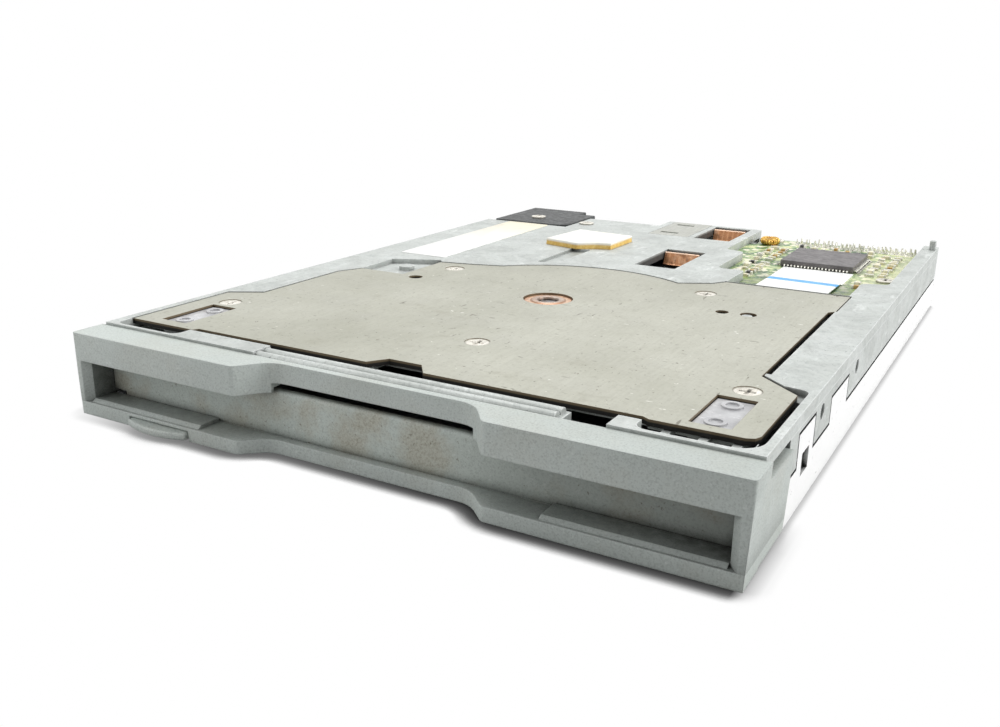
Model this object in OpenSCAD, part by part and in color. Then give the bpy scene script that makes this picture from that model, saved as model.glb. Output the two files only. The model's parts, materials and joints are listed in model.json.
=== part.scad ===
// Slim 3.5 inch floppy disk drive, lying motor side up on its steel cover.
// Drive axes: X to the right as seen from the bezel, Y from the bezel's face to the rear, Z up.
// Sizes are in millimetres. The finished part is shifted along Y so that its origin is central.

/* [Case] */
// Width across the cast frame
body_w = 96; // [95.6:0.1:99]
// Depth of the cast frame behind the bezel
body_d = 128.5; // [126:0.5:134]
// Height of the frame's top face above the surface
body_h = 12.4; // [12.2:0.1:13.4]
// Thickness of the frame's deck
deck_t = 1.6; // [1.3:0.1:1.8]
// Thickness of the cover's steel sheet
cover_t = 0.5; // [0.4:0.05:0.6]
// Height of the cover's side flanges
flange_h = 5.6; // [4.5:0.1:6.4]
// Dark gap between the flanges and the frame above them
flange_gap = 0.4; // [0.1:0.05:0.6]
// Diameter of the threaded mounting holes in the sides
mount_d = 2.05; // [1.6:0.05:2.4]
// Distance between the two mounting holes of a side
mount_pitch = 20.8; // [18:0.1:40]

/* [Bezel] */
// Width of the plastic bezel
bezel_w = 97.4; // [97:0.1:102]
// Height of the bezel
bezel_h = 12; // [11.4:0.1:12.4]
// Depth of the bezel from its face to the frame
bezel_d = 5.3; // [5:0.1:7]
// Height of the bezel's lower bar
low_bar_h = 1.95; // [1.8:0.05:2.2]
// Height of the slot between the bars
slot_h = 6.05; // [5.8:0.05:6.4]
// Width of the thumb recess at the bezel's face
thumb_w = 36.8; // [30:0.2:44]
// Depth of the thumb recess in the top bar
thumb_d = 4.2; // [3:0.1:4.4]
// Depth of the thumb recess in the lower bar
low_thumb_d = 3; // [2:0.1:3.2]
// Length of the bezel's side cheeks along the frame
cheek_l = 9.3; // [7:0.1:11]
// Rounding of the bezel's two upright front edges
bezel_end_r = 0.5; // [0.2:0.1:1.4]
// How far each end of the bezel is drawn in at its foot
bezel_draft = 0.5; // [0:0.1:0.6]

/* [Door] */
// Thickness of the slot door
door_t = 0.9; // [0.7:0.05:1.1]
// Radius of the door's pivot pins
door_pin_r = 0.4; // [0.3:0.02:0.45]

/* [Eject] */
// Width of the eject button
button_w = 10.8; // [9:0.1:12]
// How far the button stands proud of the bezel at rest
button_proud = 1.6; // [1:0.1:2.5]
// Travel of the button and its slide
eject_travel = 5; // [4:0.1:6]
// Thickness of the eject slide's sheet
slide_t = 0.35; // [0.3:0.05:0.4]

/* [Disk bay] */
// Width of the disk that the drive takes
disk_w = 90; // [89:0.1:90.2]
// Distance of the disk's inner edge from the spindle
disk_reach = 44.7; // [44:0.1:46]
// Thickness of the disk
disk_t = 3.3; // [3.2:0.05:3.4]
// Clear height of the disk bay
bay_h = 4.25; // [4.2:0.05:4.5]
// Thickness of the holder's sheet
holder_t = 0.35; // [0.3:0.05:0.4]
// Radius of the holder's four lift pins
lift_pin_r = 0.6; // [0.5:0.05:0.7]
// Length of the latch lever from its pivot to its finger
lever_l = 26; // [24:0.5:26]

/* [Spindle motor] */
// Thickness of the steel motor plate
plate_t = 0.8; // [0.6:0.05:0.9]
// Distance of the spindle from the bezel's face
spindle_y = 52; // [51:0.2:53]
// Diameter of the spindle shaft
shaft_d = 3; // [2.6:0.1:3.6]
// Diameter of the rotor
rotor_d = 42; // [40:0.5:43]
// Diameter of the chucking hub
hub_d = 25; // [24:0.5:27]
// Diameter of the bearing's visible flange
bearing_d = 8; // [7:0.1:9]

/* [Heads] */
// Travel of the head carriage over all tracks
head_travel = 14.8; // [14:0.1:15]
// Distance of the outermost track from the spindle
track_r = 39.5; // [39:0.1:40]
// Diameter of the guide rods
rod_d = 2.2; // [1.8:0.1:2.6]
// Length of the head carriage's body
carriage_l = 11.5; // [10.5:0.5:12]

/* [Stepper] */
// Diameter of the stepper motor's can
can_d = 8.4; // [7.6:0.1:8.4]
// Length of the stepper motor's can
can_l = 8.5; // [8:0.1:9]
// Diameter of the lead screw
screw_d = 2.4; // [2:0.1:2.6]

/* [Board] */
// Thickness of the circuit board
board_t = 1; // [0.8:0.1:1.2]
// Side of the control chip along X
chip_w = 13.6; // [12:0.1:15]
// Side of the control chip along Y
chip_l = 14.6; // [13:0.1:15]
// Width of the motor's flat ribbon
ribbon_w = 12.4; // [10:0.1:13]

/* [Trim] */
// Thickness of the spacer pad on the deck
pad_t = 1.3; // [0.8:0.1:1.5]
// Width of the blank label
label_w = 10; // [8:0.5:11]

/* [Hidden] */

$fn = 48;

// Clearances
seat_gap = 0.1;      // between fixed pieces that sit side by side
run_gap = 0.2;       // between sheets that slide past each other
swing_gap = 0.3;     // round pieces that swing or travel
pin_gap = 0.05;      // round pins and shafts in their bores
nick = 0.1;          // how far a cutter runs past a face

// Colours
cast_grey = [0.74, 0.77, 0.78];
plastic_grey = [0.58, 0.61, 0.60];
steel = [0.80, 0.81, 0.82];
plate_olive = [0.74, 0.73, 0.67];
black_plastic = [0.16, 0.18, 0.18];
bronze = [0.76, 0.58, 0.42];
copper = [0.68, 0.38, 0.22];
board_green = [0.06, 0.36, 0.22];
chip_grey = [0.30, 0.29, 0.30];
white_film = [0.95, 0.95, 0.94];
cream = [0.97, 0.90, 0.70];
gold = [0.80, 0.62, 0.26];
magnet_grey = [0.33, 0.33, 0.36];
ivory = [0.86, 0.83, 0.78];

// Widths: the frame and bezel from the outside, the disk bay from the inside
half_w = body_w / 2;
bezel_x = bezel_w / 2;
wall_out = half_w - cover_t - seat_gap;
bay_x = disk_w / 2 + run_gap;
holder_x = bay_x + holder_t;
ear_in = holder_x + run_gap;
ear_out = ear_in + slide_t;
wall_in = ear_out + run_gap;

// Depths, from the bezel's face to the rear
frame_y = bezel_d;
rear_y = bezel_d + body_d;
mid_y = (rear_y - button_proud) / 2;
disk_end = spindle_y + disk_reach;
cheek_end = bezel_d + cheek_l;

// Room for the head carriage, from the frame's rear, and how far forward its arms travel
post_t = 1.2;
rear_room = 7.2;
post_y = disk_end + 0.5;
rear_post_y = rear_y - rear_room - post_t;
carriage_end = rear_post_y - 0.4;
carriage_y = carriage_end - carriage_l;
head_y = spindle_y + track_r;
head_half = 1.8;
arm_reach = head_y - head_half - head_travel;

// Heights from below: cover, eject slide, door, disk holder
slide_z = cover_t + 0.25;
slide_top = slide_z + slide_t;
foot_gap = 0.35;
door_axis_z = slide_top + foot_gap + door_t / 2;
bay_z = door_axis_z + door_t / 2 + seat_gap;
holder_z = bay_z - holder_t;
bay_top = bay_z + bay_h;
wall_z = cover_t;

// Heights from above: deck, motor plate, rotor
deck_z = body_h - deck_t;
plate_top = body_h - 0.1;
plate_z = plate_top - plate_t;
stator_h = 2;
yoke_t = 0.6;
hub_t = 0.5;
yoke_z = plate_z - stator_h;
chuck_z = yoke_z - yoke_t - hub_t;
lift = chuck_z - bay_z - disk_t;

// Motor plate
spindle_x = -0.3;
plate_arc_r = 25.6;
plate_left = -(half_w - 1.5);
plate_right = half_w - 2;
plate_front = 9.8;
plate_rear = spindle_y + 27;
plate_gap = 0.25;
plate_gap_x = half_w - 7.6;
plate_tail_x = half_w - 6.7;
slot_in = half_w - 13.5;
plate_lugs = [half_w - 11.8, half_w - 7.6, half_w - 4];
plate_screws = [[-(half_w - 6.5), 23.5], [2.8, 25], [half_w - 7.5, 24.2],
                [20.2, spindle_y + 17], [-25.3, spindle_y + 11.4]];
stud_at = [30.1, spindle_y + 7];
plate_holes = [[-27.3, spindle_y + 1.8, 1.2], [26.3, spindle_y + 6.6, 1],
               [stud_at.x + 0.2, stud_at.y, 1.25]];
pocket = [[-(half_w - 8.5), spindle_y + 2.4], [-(half_w - 8.2), spindle_y + 12],
          [-31.4, spindle_y + 16], [-30.2, spindle_y + 14.8], [-30.2, spindle_y + 2.4]];
pocket_boss = [-34.2, spindle_y + 8.9];
pocket_boss_r = 1.4;
switch_x = half_w - 7.7;
switch_w = 4.7;
switch_y = 11;
switch_l = 10;
screw_r = 0.8;
head_r = 1.65;
screw_head_h = 0.45;
head_gap = 0.12;
head_drop = 0.08;
sink_h = 0.5;
boss_r = 2;

// Slot door
door_y = 4.3;
door_axis_y = door_y + door_t / 2;
door_x = bay_x + 1;
jamb_x = door_x + swing_gap;
door_top = low_bar_h + slot_h + 0.2;
top_bar_z = low_bar_h + slot_h;
thumb_slot_z = top_bar_z + 1.3;
thumb_flare = 3.2;
door_notch = 2.3;

// Eject button and slide
button_x = -(half_w - 15.2);
button_z = 0.15;
button_top = slide_top + seat_gap;
button_back = frame_y - 0.3;
button_bow = 1.1;
arm_w = 5.4;
arm_root = 1.5;
slide_front = 20;
slide_rear = rear_y - 20.8;
slide_window_y = [28, arm_reach - 4.9];
slide_slot_y = arm_reach + 3.1;
lift_pins_y = [30, disk_end - 12.7];
lift_pin_z = holder_z + 1.6;
lift_pin_end = wall_in + 0.6;
spring_x = half_w - 14;
spring_r = 1.3;
spring_z = slide_top + seat_gap + spring_r + 0.4;
spring_rear = slide_rear + 9.5;

// Disk holder and latch lever
holder_front = 12;
holder_rear = disk_end + 0.3;
rail_w = 4;
rail_rear = spindle_y + 27;
arm_slot_y = arm_reach - 3.9;
arm_slot_x = 11;
rod_x = 10.5;
hanger_w = 3.6;
lever_x = -(half_w - 8);
lever_y = disk_end + 0.8;
lever_rest = -75;
lever_t = 0.4;
lever_w = 2.4;
lever_z = bay_top + holder_t + 0.05;
lever_pin_r = 1;
latch_spring_h = 0.8;
finger_r = 0.8;
shelf_rear = lever_y + 3.5;
shelf_x = lever_x + 4;

// Spindle motor
shaft_r = shaft_d / 2;
rotor_r = rotor_d / 2;
hub_r = hub_d / 2;
rim_t = 0.7;
magnet_t = 2;
air_gap = 0.4;
bearing_body_r = 6.4;
bearing_drop = 0.3;
shaft_tip = bay_top + 0.15;
drive_pin_x = 10;
drive_pin_h = 0.6;
drive_pin_r = 1;
drive_base_r = 1.5;
pole_count = 9;

// Head carriage and its guides
can_r = can_d / 2;
rod_z = deck_z - can_r - 0.2;
rod_r = rod_d / 2;
carriage_x = 13;
arm_axis_z = rod_z - 3.4;
carriage_z = arm_axis_z + 1.3;
carriage_top = deck_z - 1.3;
head_arm_x = 6;
lower_arm_z = chuck_z + seat_gap;
lower_arm_t = 0.8;
media_z = chuck_z - disk_t / 2;
arm_t = 0.5;
arm_z = cover_t + 0.25;
arm_axis_y = carriage_end - 2;
arm_pin_r = 0.5;
arm_knee = carriage_end - 7;
upper_head_h = 0.9;
flag_y = carriage_y + 5.5;

// Stepper motor and lead screw
screw_x = -18.5;
screw_r2 = screw_d / 2;
can_wall = 0.6;
bracket_t = 0.5;
bearing_post_y = lever_y + lever_w / 2 + 0.6;
screw_y = bearing_post_y + post_t + seat_gap;
follower_y = carriage_y + 2.5;
bracket_y = follower_y + 1;
can_y = bracket_y + bracket_t;
screw_pivot_r = 0.6;
motor_shaft_r = 0.8;

// Board
board_z = deck_z - board_t;
board_lip = 1;
board_rear = rear_y - 0.9;
board_left = 11.2;
board_right = half_w - 2.8;
cut_front = plate_rear + 0.3;
cut_left = 20.5;
cut_right = half_w - 7;
lobe_left = 15.3;
lobe_y = [plate_rear + 10.5, plate_rear + 28];
chip_x = (board_left + board_right) / 2 + 1.7;
chip_y = plate_rear + 25.8;
chip_h = 1.2;
chip_lift = 0.1;
ribbon_x = chip_x + 0.7;
ribbon_t = 0.15;
ribbon_front = plate_rear - 4;
socket_y = plate_rear + 14.6;
socket_l = 10;
socket_h = 0.25;
connector_x = [board_left + 8.8, half_w - 3];
connector_l = 5.8;
connector_z = 5;
tail_count = 26;
coil_at = [board_left + 4, rear_y - 7.4];

// Cover tabs, rear bracket and trim
tabs = [[19.5, 27, 9.8], [36, 46, 9.2]];
tab_window = [21.7, 25, 4, 6.8];
mount_y = 30.7;
mount_z = deck_z - 1.7;
cover_boss = [half_w - 4, rear_y - 15.8];
cover_boss_r = 2.2;
bracket_x = screw_x - can_r - 5.3;
bracket_front = rear_y - 19.8;
bracket_top = body_h + 0.3;
bracket_screw = [-(half_w - 9.8), bracket_front + 6.5];
stepper_screw = [screw_x - can_r - 2.8, bracket_y + 3];
board_screw_spots = [[board_left + 4.3, rear_y - 3.1], [half_w - 4.8, disk_end + 4.3]];
board_boss_h = 3;
bite = 1.2;
deck_left_rear = rear_y - 6.5;
label_x = -(half_w - 11);
label_y = [spindle_y + 18, bracket_front - 0.6];
label_t = 0.12;
post_top = body_h + 1.8;
window_x = [1.2, 9.2];
window_y = [spindle_y + 32, spindle_y + 49.6];
rear_window_y = rear_y - 17.4;
steel_patch_x = [-9, 0];
patch_t = 0.4;
groove_x = [-15.4, -11.4];
groove_y = [spindle_y + 24.5, spindle_y + 40];
ridge_x = [-19.5, 24.5];
ridge_end = 30.8;
beam_rear = 8.6;

// Points of one corner of an outline, rounded to radius r
function unit(v) = v / norm(v);
function corner(a, b, c, r, n = 6) = r == 0 ? [b] :
    let (u = unit(a - b), w = unit(c - b), half = acos(u * w) / 2,
         o = b + unit(u + w) * r / sin(half),
         p = b + u * r / tan(half) - o, q = b + w * r / tan(half) - o,
         start = atan2(p.y, p.x),
         turn = (atan2(q.y, q.x) - start + 540) % 360 - 180)
    [for (i = [0:n]) o + r * [cos(start + turn * i / n), sin(start + turn * i / n)]];

// Outline from [x, y, radius] corners
function rounded(list) = let (n = len(list), xy = [for (p = list) [p.x, p.y]])
    [for (i = [0:n - 1]) each corner(xy[(i + n - 1) % n], xy[i], xy[(i + 1) % n], list[i].z)];

// Box between two opposite corners
module slab(a, b) translate(a) cube(b - a);

// Upright prism of a flat outline between two heights
module prism(z0, z1) translate([0, 0, z0]) linear_extrude(z1 - z0) children();

// Round pieces along the three axes
module post(x, y, z0, z1, r) translate([x, y, z0]) cylinder(r = r, h = z1 - z0);
module bar_x(x0, x1, y, z, r) translate([x0, y, z]) rotate([0, 90, 0]) cylinder(r = r, h = x1 - x0);
module bar_y(x, y0, y1, z, r) translate([x, y0, z]) rotate([-90, 0, 0]) cylinder(r = r, h = y1 - y0);
module sleeve_y(x, y0, y1, z, r, bore) difference() {
    bar_y(x, y0, y1, z, r);
    bar_y(x, y0 - nick, y1 + nick, z, bore);
}

// The same piece on the right and mirrored on the left
module both_sides() {
    children();
    mirror([1, 0, 0]) children();
}

// Screw with a flat round head, a cross recess and a plain shank, its head's seat at z
module cap_screw(x, y, z, shank) translate([x, y, z]) difference() {
    union() {
        cylinder(r = head_r, h = screw_head_h);
        translate([0, 0, -shank]) cylinder(r = screw_r, h = shank);
    }
    cross_recess(screw_head_h);
}

// Cutter of a cross recess below height z
module cross_recess(z) for (a = [0, 90]) rotate(a)
    slab([-head_r * 0.6, -0.18, z - 0.28], [head_r * 0.6, 0.18, z + nick]);

// Cast frame

// Plan of the motor plate, grown by g on every side
module plate_plan(g = 0) {
    polygon([
        [plate_left - g, 9 - g], [-slot_in + g, 9 - g], [-slot_in + 0.5 + g, plate_front - g],
        [-4.6 + g, plate_front - g], [-2.8 + g, 12.4 - g], [2.2 - g, 12.4 - g],
        [4.2 - g, plate_front - g], [slot_in - 1.3 - g, plate_front - g], [slot_in - 0.5 - g, 9.3 - g],
        [plate_right - 1.3 + g, 9.3 - g], [plate_right - 0.4 + g, 9.7 - g], [plate_right + g, 10.6 - g],
        [plate_right + g, 25.5 + g], [plate_gap_x + g, 30.5 + g],
        [plate_gap_x + g, spindle_y + 15 - g], [plate_tail_x + g, spindle_y + 16 - g],
        [plate_tail_x + g, plate_rear + g], [cut_left - g, plate_rear + g], [19 - g, spindle_y + 24.5 + g],
        [11, spindle_y + 20 + g], [-13, spindle_y + 19.5 + g], [-24, spindle_y + 16 + g],
        [-30.5 - g, spindle_y + 14.5 + g], [-30.5 - g, spindle_y + 2.5 + g],
        [-(half_w - 8.5), spindle_y + 2.5 + g], [-(half_w - 6.5) - g, spindle_y - 2 + g],
        [-(half_w - 6.5) - g, 31 + g], [plate_left - g, 28 + g]]);
    translate([spindle_x, spindle_y]) circle(r = plate_arc_r + g);
}

// Plan of the opening over the circuit board, grown by g
module board_plan(g, rear) polygon(rounded([
    [cut_left - g, cut_front - g, 0.6], [cut_right + g, cut_front - g, 0.6],
    [cut_right + g, lobe_y[0] + 0.5, 1.5],
    [board_right + g * 0.7, lobe_y[0] + 2, 1], [board_right + g * 0.7, rear, 0], [board_left - g, rear, 0],
    [board_left - g, lobe_y[1] + 1 - g, 1.5], [lobe_left - g, lobe_y[1] - g, 1.5],
    [lobe_left - g, lobe_y[0] - g, 1.5], [cut_left - g, lobe_y[0] - g, 0.6]]));

// Plan of the whole deck with the rear corner left to the bracket
module deck_plan() difference() {
    translate([-half_w, frame_y]) square([2 * half_w, rear_y - frame_y]);
    translate([-half_w - nick, bracket_front - seat_gap])
        square([half_w + bracket_x + seat_gap + nick, rear_y]);
    translate([bracket_x, deck_left_rear]) square([steel_patch_x[0] - 1.5 - bracket_x, rear_y]);
    board_plan(0, rear_y + nick);
    translate([window_x[0], window_y[0]]) square([window_x[1] - window_x[0], window_y[1] - window_y[0]]);
    translate([window_x[0], rear_window_y]) square([window_x[1] - window_x[0], rear_y - 1.4 - rear_window_y]);
    polygon(rounded([[plate_left, 5.8, 1.4], [-slot_in, 5.8, 1.4],
                     [-slot_in, 10.6, 0], [plate_left, 10.6, 0]]));
    polygon(rounded([[slot_in - 1, 6, 1.5], [half_w - 1.4, 6, 3], [half_w - 1.4, 25.4, 0.8],
                     [plate_right - 1.2, 25.4, 0.8], [plate_right - 1.2, 10.3, 1], [slot_in - 1, 10.3, 0]]));
    translate([-slot_in - nick, beam_rear]) square([2 * slot_in - 0.8, 2.4]);
    translate([-4.4, beam_rear]) square([8.4, 5]);
    translate([ridge_x[1] + 0.6, frame_y + 0.3])
        square([ridge_end - ridge_x[1] - 0.6, beam_rear - frame_y]);
    for (s = [-1, 1])
        translate([s * switch_x - switch_w / 2 - seat_gap / 2, switch_y - seat_gap / 2])
            square([switch_w + seat_gap, switch_l + seat_gap]);
    translate([plate_gap_x - 1.1, 31.5]) square([2, spindle_y + 15.5 - 31.5]);
}

// Beam behind the bezel with a raised double ridge in its middle
module front_beam() {
    beam_z = door_top + 1;
    difference() {
        slab([-wall_in, frame_y, beam_z], [wall_in, beam_rear, body_h - 0.2]);
        slab([plate_left, 5.8, beam_z - nick], [-slot_in, beam_rear + nick, body_h]);
        slab([slot_in - 1, 6, beam_z - nick], [half_w - 1.8, beam_rear + nick, body_h]);
        slab([ridge_x[0], frame_y - nick, body_h - 0.8], [ridge_end, beam_rear + nick, body_h]);
        slab([ridge_x[1] + 0.6, frame_y + 0.3, beam_z - nick], [ridge_end, beam_rear + nick, body_h]);
    }
    for (y = [6.2, 7.8]) bar_x(ridge_x[0], ridge_x[1], y, body_h - 0.8, 0.7);
}

// Side wall below the deck, with slots for the holder's pins and seats for the cover's tabs
module side_wall() difference() {
    union() {
        slab([wall_in, frame_y, wall_z], [wall_out, rear_y, deck_z]);
        slab([wall_in, cheek_end + 0.6, flange_h + flange_gap], [half_w, rear_y, deck_z]);
    }
    for (y = lift_pins_y) {
        slab([wall_in - nick, y - lift_pin_r - 0.15, wall_z - nick],
             [lift_pin_end + seat_gap, y + lift_pin_r + 0.15, lift_pin_z + lift]);
        bar_x(wall_in - nick, lift_pin_end + seat_gap, y, lift_pin_z + lift, lift_pin_r + 0.15);
    }
    for (t = tabs)
        slab([wall_out, t[0] - flange_gap, flange_h - nick],
             [half_w + nick, t[1] + flange_gap, t[2] + flange_gap]);
    for (i = [0, 1])
        bar_x(wall_in - nick, half_w + nick, mount_y + i * mount_pitch, mount_z, mount_d / 2);
}

module frame_walls() color(cast_grey) both_sides() side_wall();

// Block that holds a guide rod or a bearing below the deck
module hanger(x, y, w, r, z) difference() {
    slab([x - w / 2, y, z - w / 2], [x + w / 2, y + post_t, deck_z]);
    bar_y(x, y - nick, y + post_t + nick, z, r);
}

// Boss on a wall's inner side for the cover's screw, and the rib that an eject spring pushes against
module wall_bosses() {
    difference() {
        union() {
            post(cover_boss.x, cover_boss.y, wall_z, board_z, cover_boss_r);
            slab([cover_boss.x, cover_boss.y - cover_boss_r, wall_z],
                 [wall_in, cover_boss.y + cover_boss_r, board_z]);
        }
        post(cover_boss.x, cover_boss.y, wall_z - nick, wall_z + 4, screw_r);
    }
    slab([spring_x - 2, spring_rear, spring_z - 1.5],
         [wall_in, spring_rear + post_t, spring_z + 1.5]);
}

// What stands on the walls and hangs below the deck: hangers, rear wall, bosses and screw seats
module frame_hangers() color(cast_grey) {
    for (x = [-rod_x, rod_x], y = [post_y, rear_post_y]) hanger(x, y, hanger_w, rod_r, rod_z);
    hanger(screw_x, bearing_post_y, 4, 1.4, rod_z);
    difference() {
        union() {
            both_sides() wall_bosses();
            slab([-11, rear_y - 1.2, wall_z], [board_left, rear_y, deck_z]);
            slab([board_left - 0.2, board_screw_spots[0].y - boss_r, board_z - board_boss_h],
                 [board_screw_spots[0].x + boss_r, rear_y, board_z]);
            slab([board_screw_spots[1].x - boss_r, board_screw_spots[1].y - boss_r, board_z - board_boss_h],
                 [wall_in, board_screw_spots[1].y + boss_r, board_z]);
            slab([-wall_in, cover_boss.y - cover_boss_r, board_z - 0.5],
                 [bracket_screw.x + boss_r, bracket_screw.y + boss_r, deck_z]);
        }
        for (p = board_screw_spots) post(p.x, p.y, board_z - bite - nick, board_z + nick, screw_r);
        post(bracket_screw.x, bracket_screw.y, deck_z - bite - nick, deck_z + nick, screw_r);
    }
}

// Deck of the frame, with the beam behind the bezel and the bosses of the motor plate
module main_frame() color(cast_grey) difference() {
    union() {
        prism(deck_z, plate_z) difference() {
            deck_plan();
            translate([spindle_x, spindle_y]) circle(r = rotor_r + 1.2);
            translate([ribbon_x - ribbon_w / 2 - 0.6, ribbon_front - 2])
                square([ribbon_w + 1.2, cut_front - ribbon_front + 2 + nick]);
        }
        prism(plate_z, body_h) difference() {
            deck_plan();
            plate_plan(plate_gap);
            polygon(pocket);
            polygon(rounded([[slot_in - 1, 6, 1.5], [half_w - 1, 6, 3], [half_w - 1, 27.5, 1.2],
                             [half_w - 4.5, 28, 1.2], [slot_in - 1, 12, 0]]));
            translate([ridge_x[0] - nick, frame_y - nick]) square([ridge_end - ridge_x[0] + nick, 4]);
            translate([steel_patch_x[0], rear_window_y])
                square([steel_patch_x[1] - steel_patch_x[0], rear_y]);
            translate([groove_x[0], groove_y[0]])
                square([groove_x[1] - groove_x[0], groove_y[1] - groove_y[0]]);
        }
        slab([groove_x[0], groove_y[0], plate_z], [groove_x[1], groove_y[1], body_h - 0.6]);
        slab([steel_patch_x[0], rear_window_y, plate_z], [steel_patch_x[1], rear_y, body_h - patch_t]);
        for (p = plate_screws) post(p.x, p.y, deck_z - 0.8, plate_z, boss_r);
        post(stud_at.x, stud_at.y, deck_z, plate_top - 0.2, screw_r);
        post(pocket_boss.x, pocket_boss.y, deck_z, body_h - 0.1, pocket_boss_r);
        front_beam();
        for (x = plate_lugs) slab([x - 0.5, 8.4, deck_z], [x + 0.5, switch_y - 0.4, plate_z - 0.1]);
        slab([wall_in + 0.4, rear_y - 4.6, body_h - nick], [half_w - 0.2, rear_y - 3.2, post_top]);
    }
    for (p = plate_screws) post(p.x, p.y, deck_z - 0.8 - nick, body_h, screw_r);
    post(stepper_screw.x, stepper_screw.y, deck_z - nick, body_h + nick, screw_r);
}

// Cover, a shallow steel tray below the frame
module case_cover() color(steel) difference() {
    union() {
        slab([-wall_out, frame_y + seat_gap, 0], [wall_out, rear_y, cover_t]);
        slab([-half_w, cheek_end + 0.4, 0], [half_w, rear_y, cover_t]);
        both_sides() {
            slab([half_w - cover_t, cheek_end + 0.4, 0], [half_w, rear_y, flange_h]);
            for (t = tabs)
                slab([half_w - cover_t, t[0], flange_h - nick], [half_w, t[1], t[2]]);
        }
    }
    both_sides() {
        slab([half_w - 2 * cover_t, tab_window[0], tab_window[2]],
             [half_w + nick, tab_window[1], tab_window[3]]);
        post(cover_boss.x, cover_boss.y, -nick, cover_t + nick, screw_r + 0.1);
        translate([cover_boss.x, cover_boss.y, -nick])
            cylinder(r1 = head_r + 0.1, r2 = screw_r + 0.1, h = cover_t);
    }
}

module cover_screws() color(steel) both_sides() translate([cover_boss.x, cover_boss.y, 0]) difference() {
    union() {
        cylinder(r1 = head_r - 0.1, r2 = screw_r, h = cover_t - nick);
        cylinder(r = screw_r, h = cover_t + 3.5);
    }
    for (a = [0, 90]) rotate(a) slab([-0.9, -0.16, -nick], [0.9, 0.16, 0.25]);
}

// Bezel

// Plan of a bezel bar whose thumb recess has depth d
module bezel_plan(d) polygon(rounded([
    [-bezel_x, bezel_d, 0], [-bezel_x, 0, bezel_end_r],
    [-thumb_w / 2, 0, 1.2], [-thumb_w / 2 + thumb_flare, d, 4.2],
    [thumb_w / 2 - thumb_flare, d, 4.2], [thumb_w / 2, 0, 1.2],
    [bezel_x, 0, bezel_end_r], [bezel_x, bezel_d, 0]]));

// Upright outline of the bezel, drawn in at the foot of both ends
module bezel_outline() {
    lean = bezel_draft * nick / bezel_h;
    foot = bezel_x - bezel_draft - lean;
    head = bezel_x + lean;
    rotate([90, 0, 0]) translate([0, 0, -cheek_end - nick]) linear_extrude(cheek_end + 2)
        polygon([[-foot, -nick], [foot, -nick], [head, bezel_h + nick], [-head, bezel_h + nick]]);
}

// Ledge that carries the disk at one end of the slot, its front edge bevelled
module slot_ledge() rotate([90, 0, 90]) translate([0, 0, 25.5]) linear_extrude(jamb_x - 25.5 + nick)
    polygon([[0, low_bar_h - nick], [door_y - 0.2, low_bar_h - nick], [door_y - 0.2, bay_z - seat_gap],
             [0.9, bay_z - seat_gap], [0.3, low_bar_h]]);

module front_bezel() color(plastic_grey) difference() {
    intersection() {
        union() {
            prism(0, low_bar_h) bezel_plan(low_thumb_d);
            prism(top_bar_z, bezel_h) bezel_plan(thumb_d);
            intersection() {
                prism(0, bezel_h) bezel_plan(low_thumb_d);
                both_sides() slab([jamb_x, -nick, 0], [bezel_x + nick, bezel_d, bezel_h]);
            }
            both_sides() {
                slot_ledge();
                slab([wall_out + 0.05, bezel_d - nick, 0.3], [bezel_x, cheek_end, bezel_h - 2]);
            }
        }
        bezel_outline();
    }
    // Bevels of the slot's two ends
    both_sides() prism(low_bar_h, top_bar_z)
        polygon([[jamb_x - nick, -nick], [jamb_x + 1 + nick, -nick], [jamb_x - nick, 1 + nick]]);
    // Rebates that clear the door's top and foot
    slab([-jamb_x, door_y - 0.2, top_bar_z - nick], [jamb_x, bezel_d + nick, door_top + 0.4]);
    slab([-jamb_x, door_y - 0.2, door_axis_z - door_t / 2 - swing_gap], [jamb_x, bezel_d + nick, top_bar_z]);
    // Raised middle of the slot
    slab([-thumb_w / 2 + thumb_flare, 0.5, top_bar_z - nick],
         [thumb_w / 2 - thumb_flare, bezel_d + nick, thumb_slot_z]);
    // Notch for the button
    slab([button_x - button_w / 2 - swing_gap, -nick, -nick],
         [button_x + button_w / 2 + swing_gap, bezel_d + nick, button_top + 0.25]);
    // Bores for the door's pins
    both_sides() bar_x(jamb_x - nick, jamb_x + 0.95, door_axis_y, door_axis_z, door_pin_r + pin_gap);
}

// Door of the disk slot: a flap that swings inwards about its foot
module slot_door() color(plastic_grey) difference() {
    union() {
        rotate([90, 0, 90]) translate([0, 0, -door_x]) linear_extrude(2 * door_x) {
            translate([door_axis_y, door_axis_z]) circle(r = door_t / 2);
            translate([door_y, door_axis_z]) square([door_t, door_top - 0.6 - door_axis_z]);
            intersection() {
                translate([door_y + 0.6, door_top - 0.6]) circle(r = 0.6);
                translate([door_y, door_top - 0.6]) square([0.6, 0.6]);
            }
            translate([door_y + 0.6, door_top - 0.7]) square([door_t - 0.6, 0.7]);
        }
        bar_x(-door_x - 0.9, door_x + 0.9, door_axis_y, door_axis_z, door_pin_r);
    }
    difference() {
        slab([-door_x - nick, door_y - nick, door_axis_z - door_t],
             [-door_x + door_notch, door_y + door_t + nick, door_axis_z + 1]);
        bar_x(-door_x - 1, -door_x + door_notch + nick, door_axis_y, door_axis_z, door_pin_r);
    }
}

// Coil of the door's torsion spring, round the door's left pin
module door_spring() color(steel) difference() {
    union() {
        bar_x(-door_x + 0.1, -door_x + door_notch - 0.2, door_axis_y, door_axis_z, door_pin_r + 0.2);
        slab([-door_x + 0.1, door_y - 0.2, door_axis_z - door_t / 2 - swing_gap],
             [-door_x + 0.4, door_axis_y, door_axis_z - door_pin_r]);
    }
    bar_x(-door_x, -door_x + door_notch, door_axis_y, door_axis_z, door_pin_r + pin_gap);
}

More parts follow.
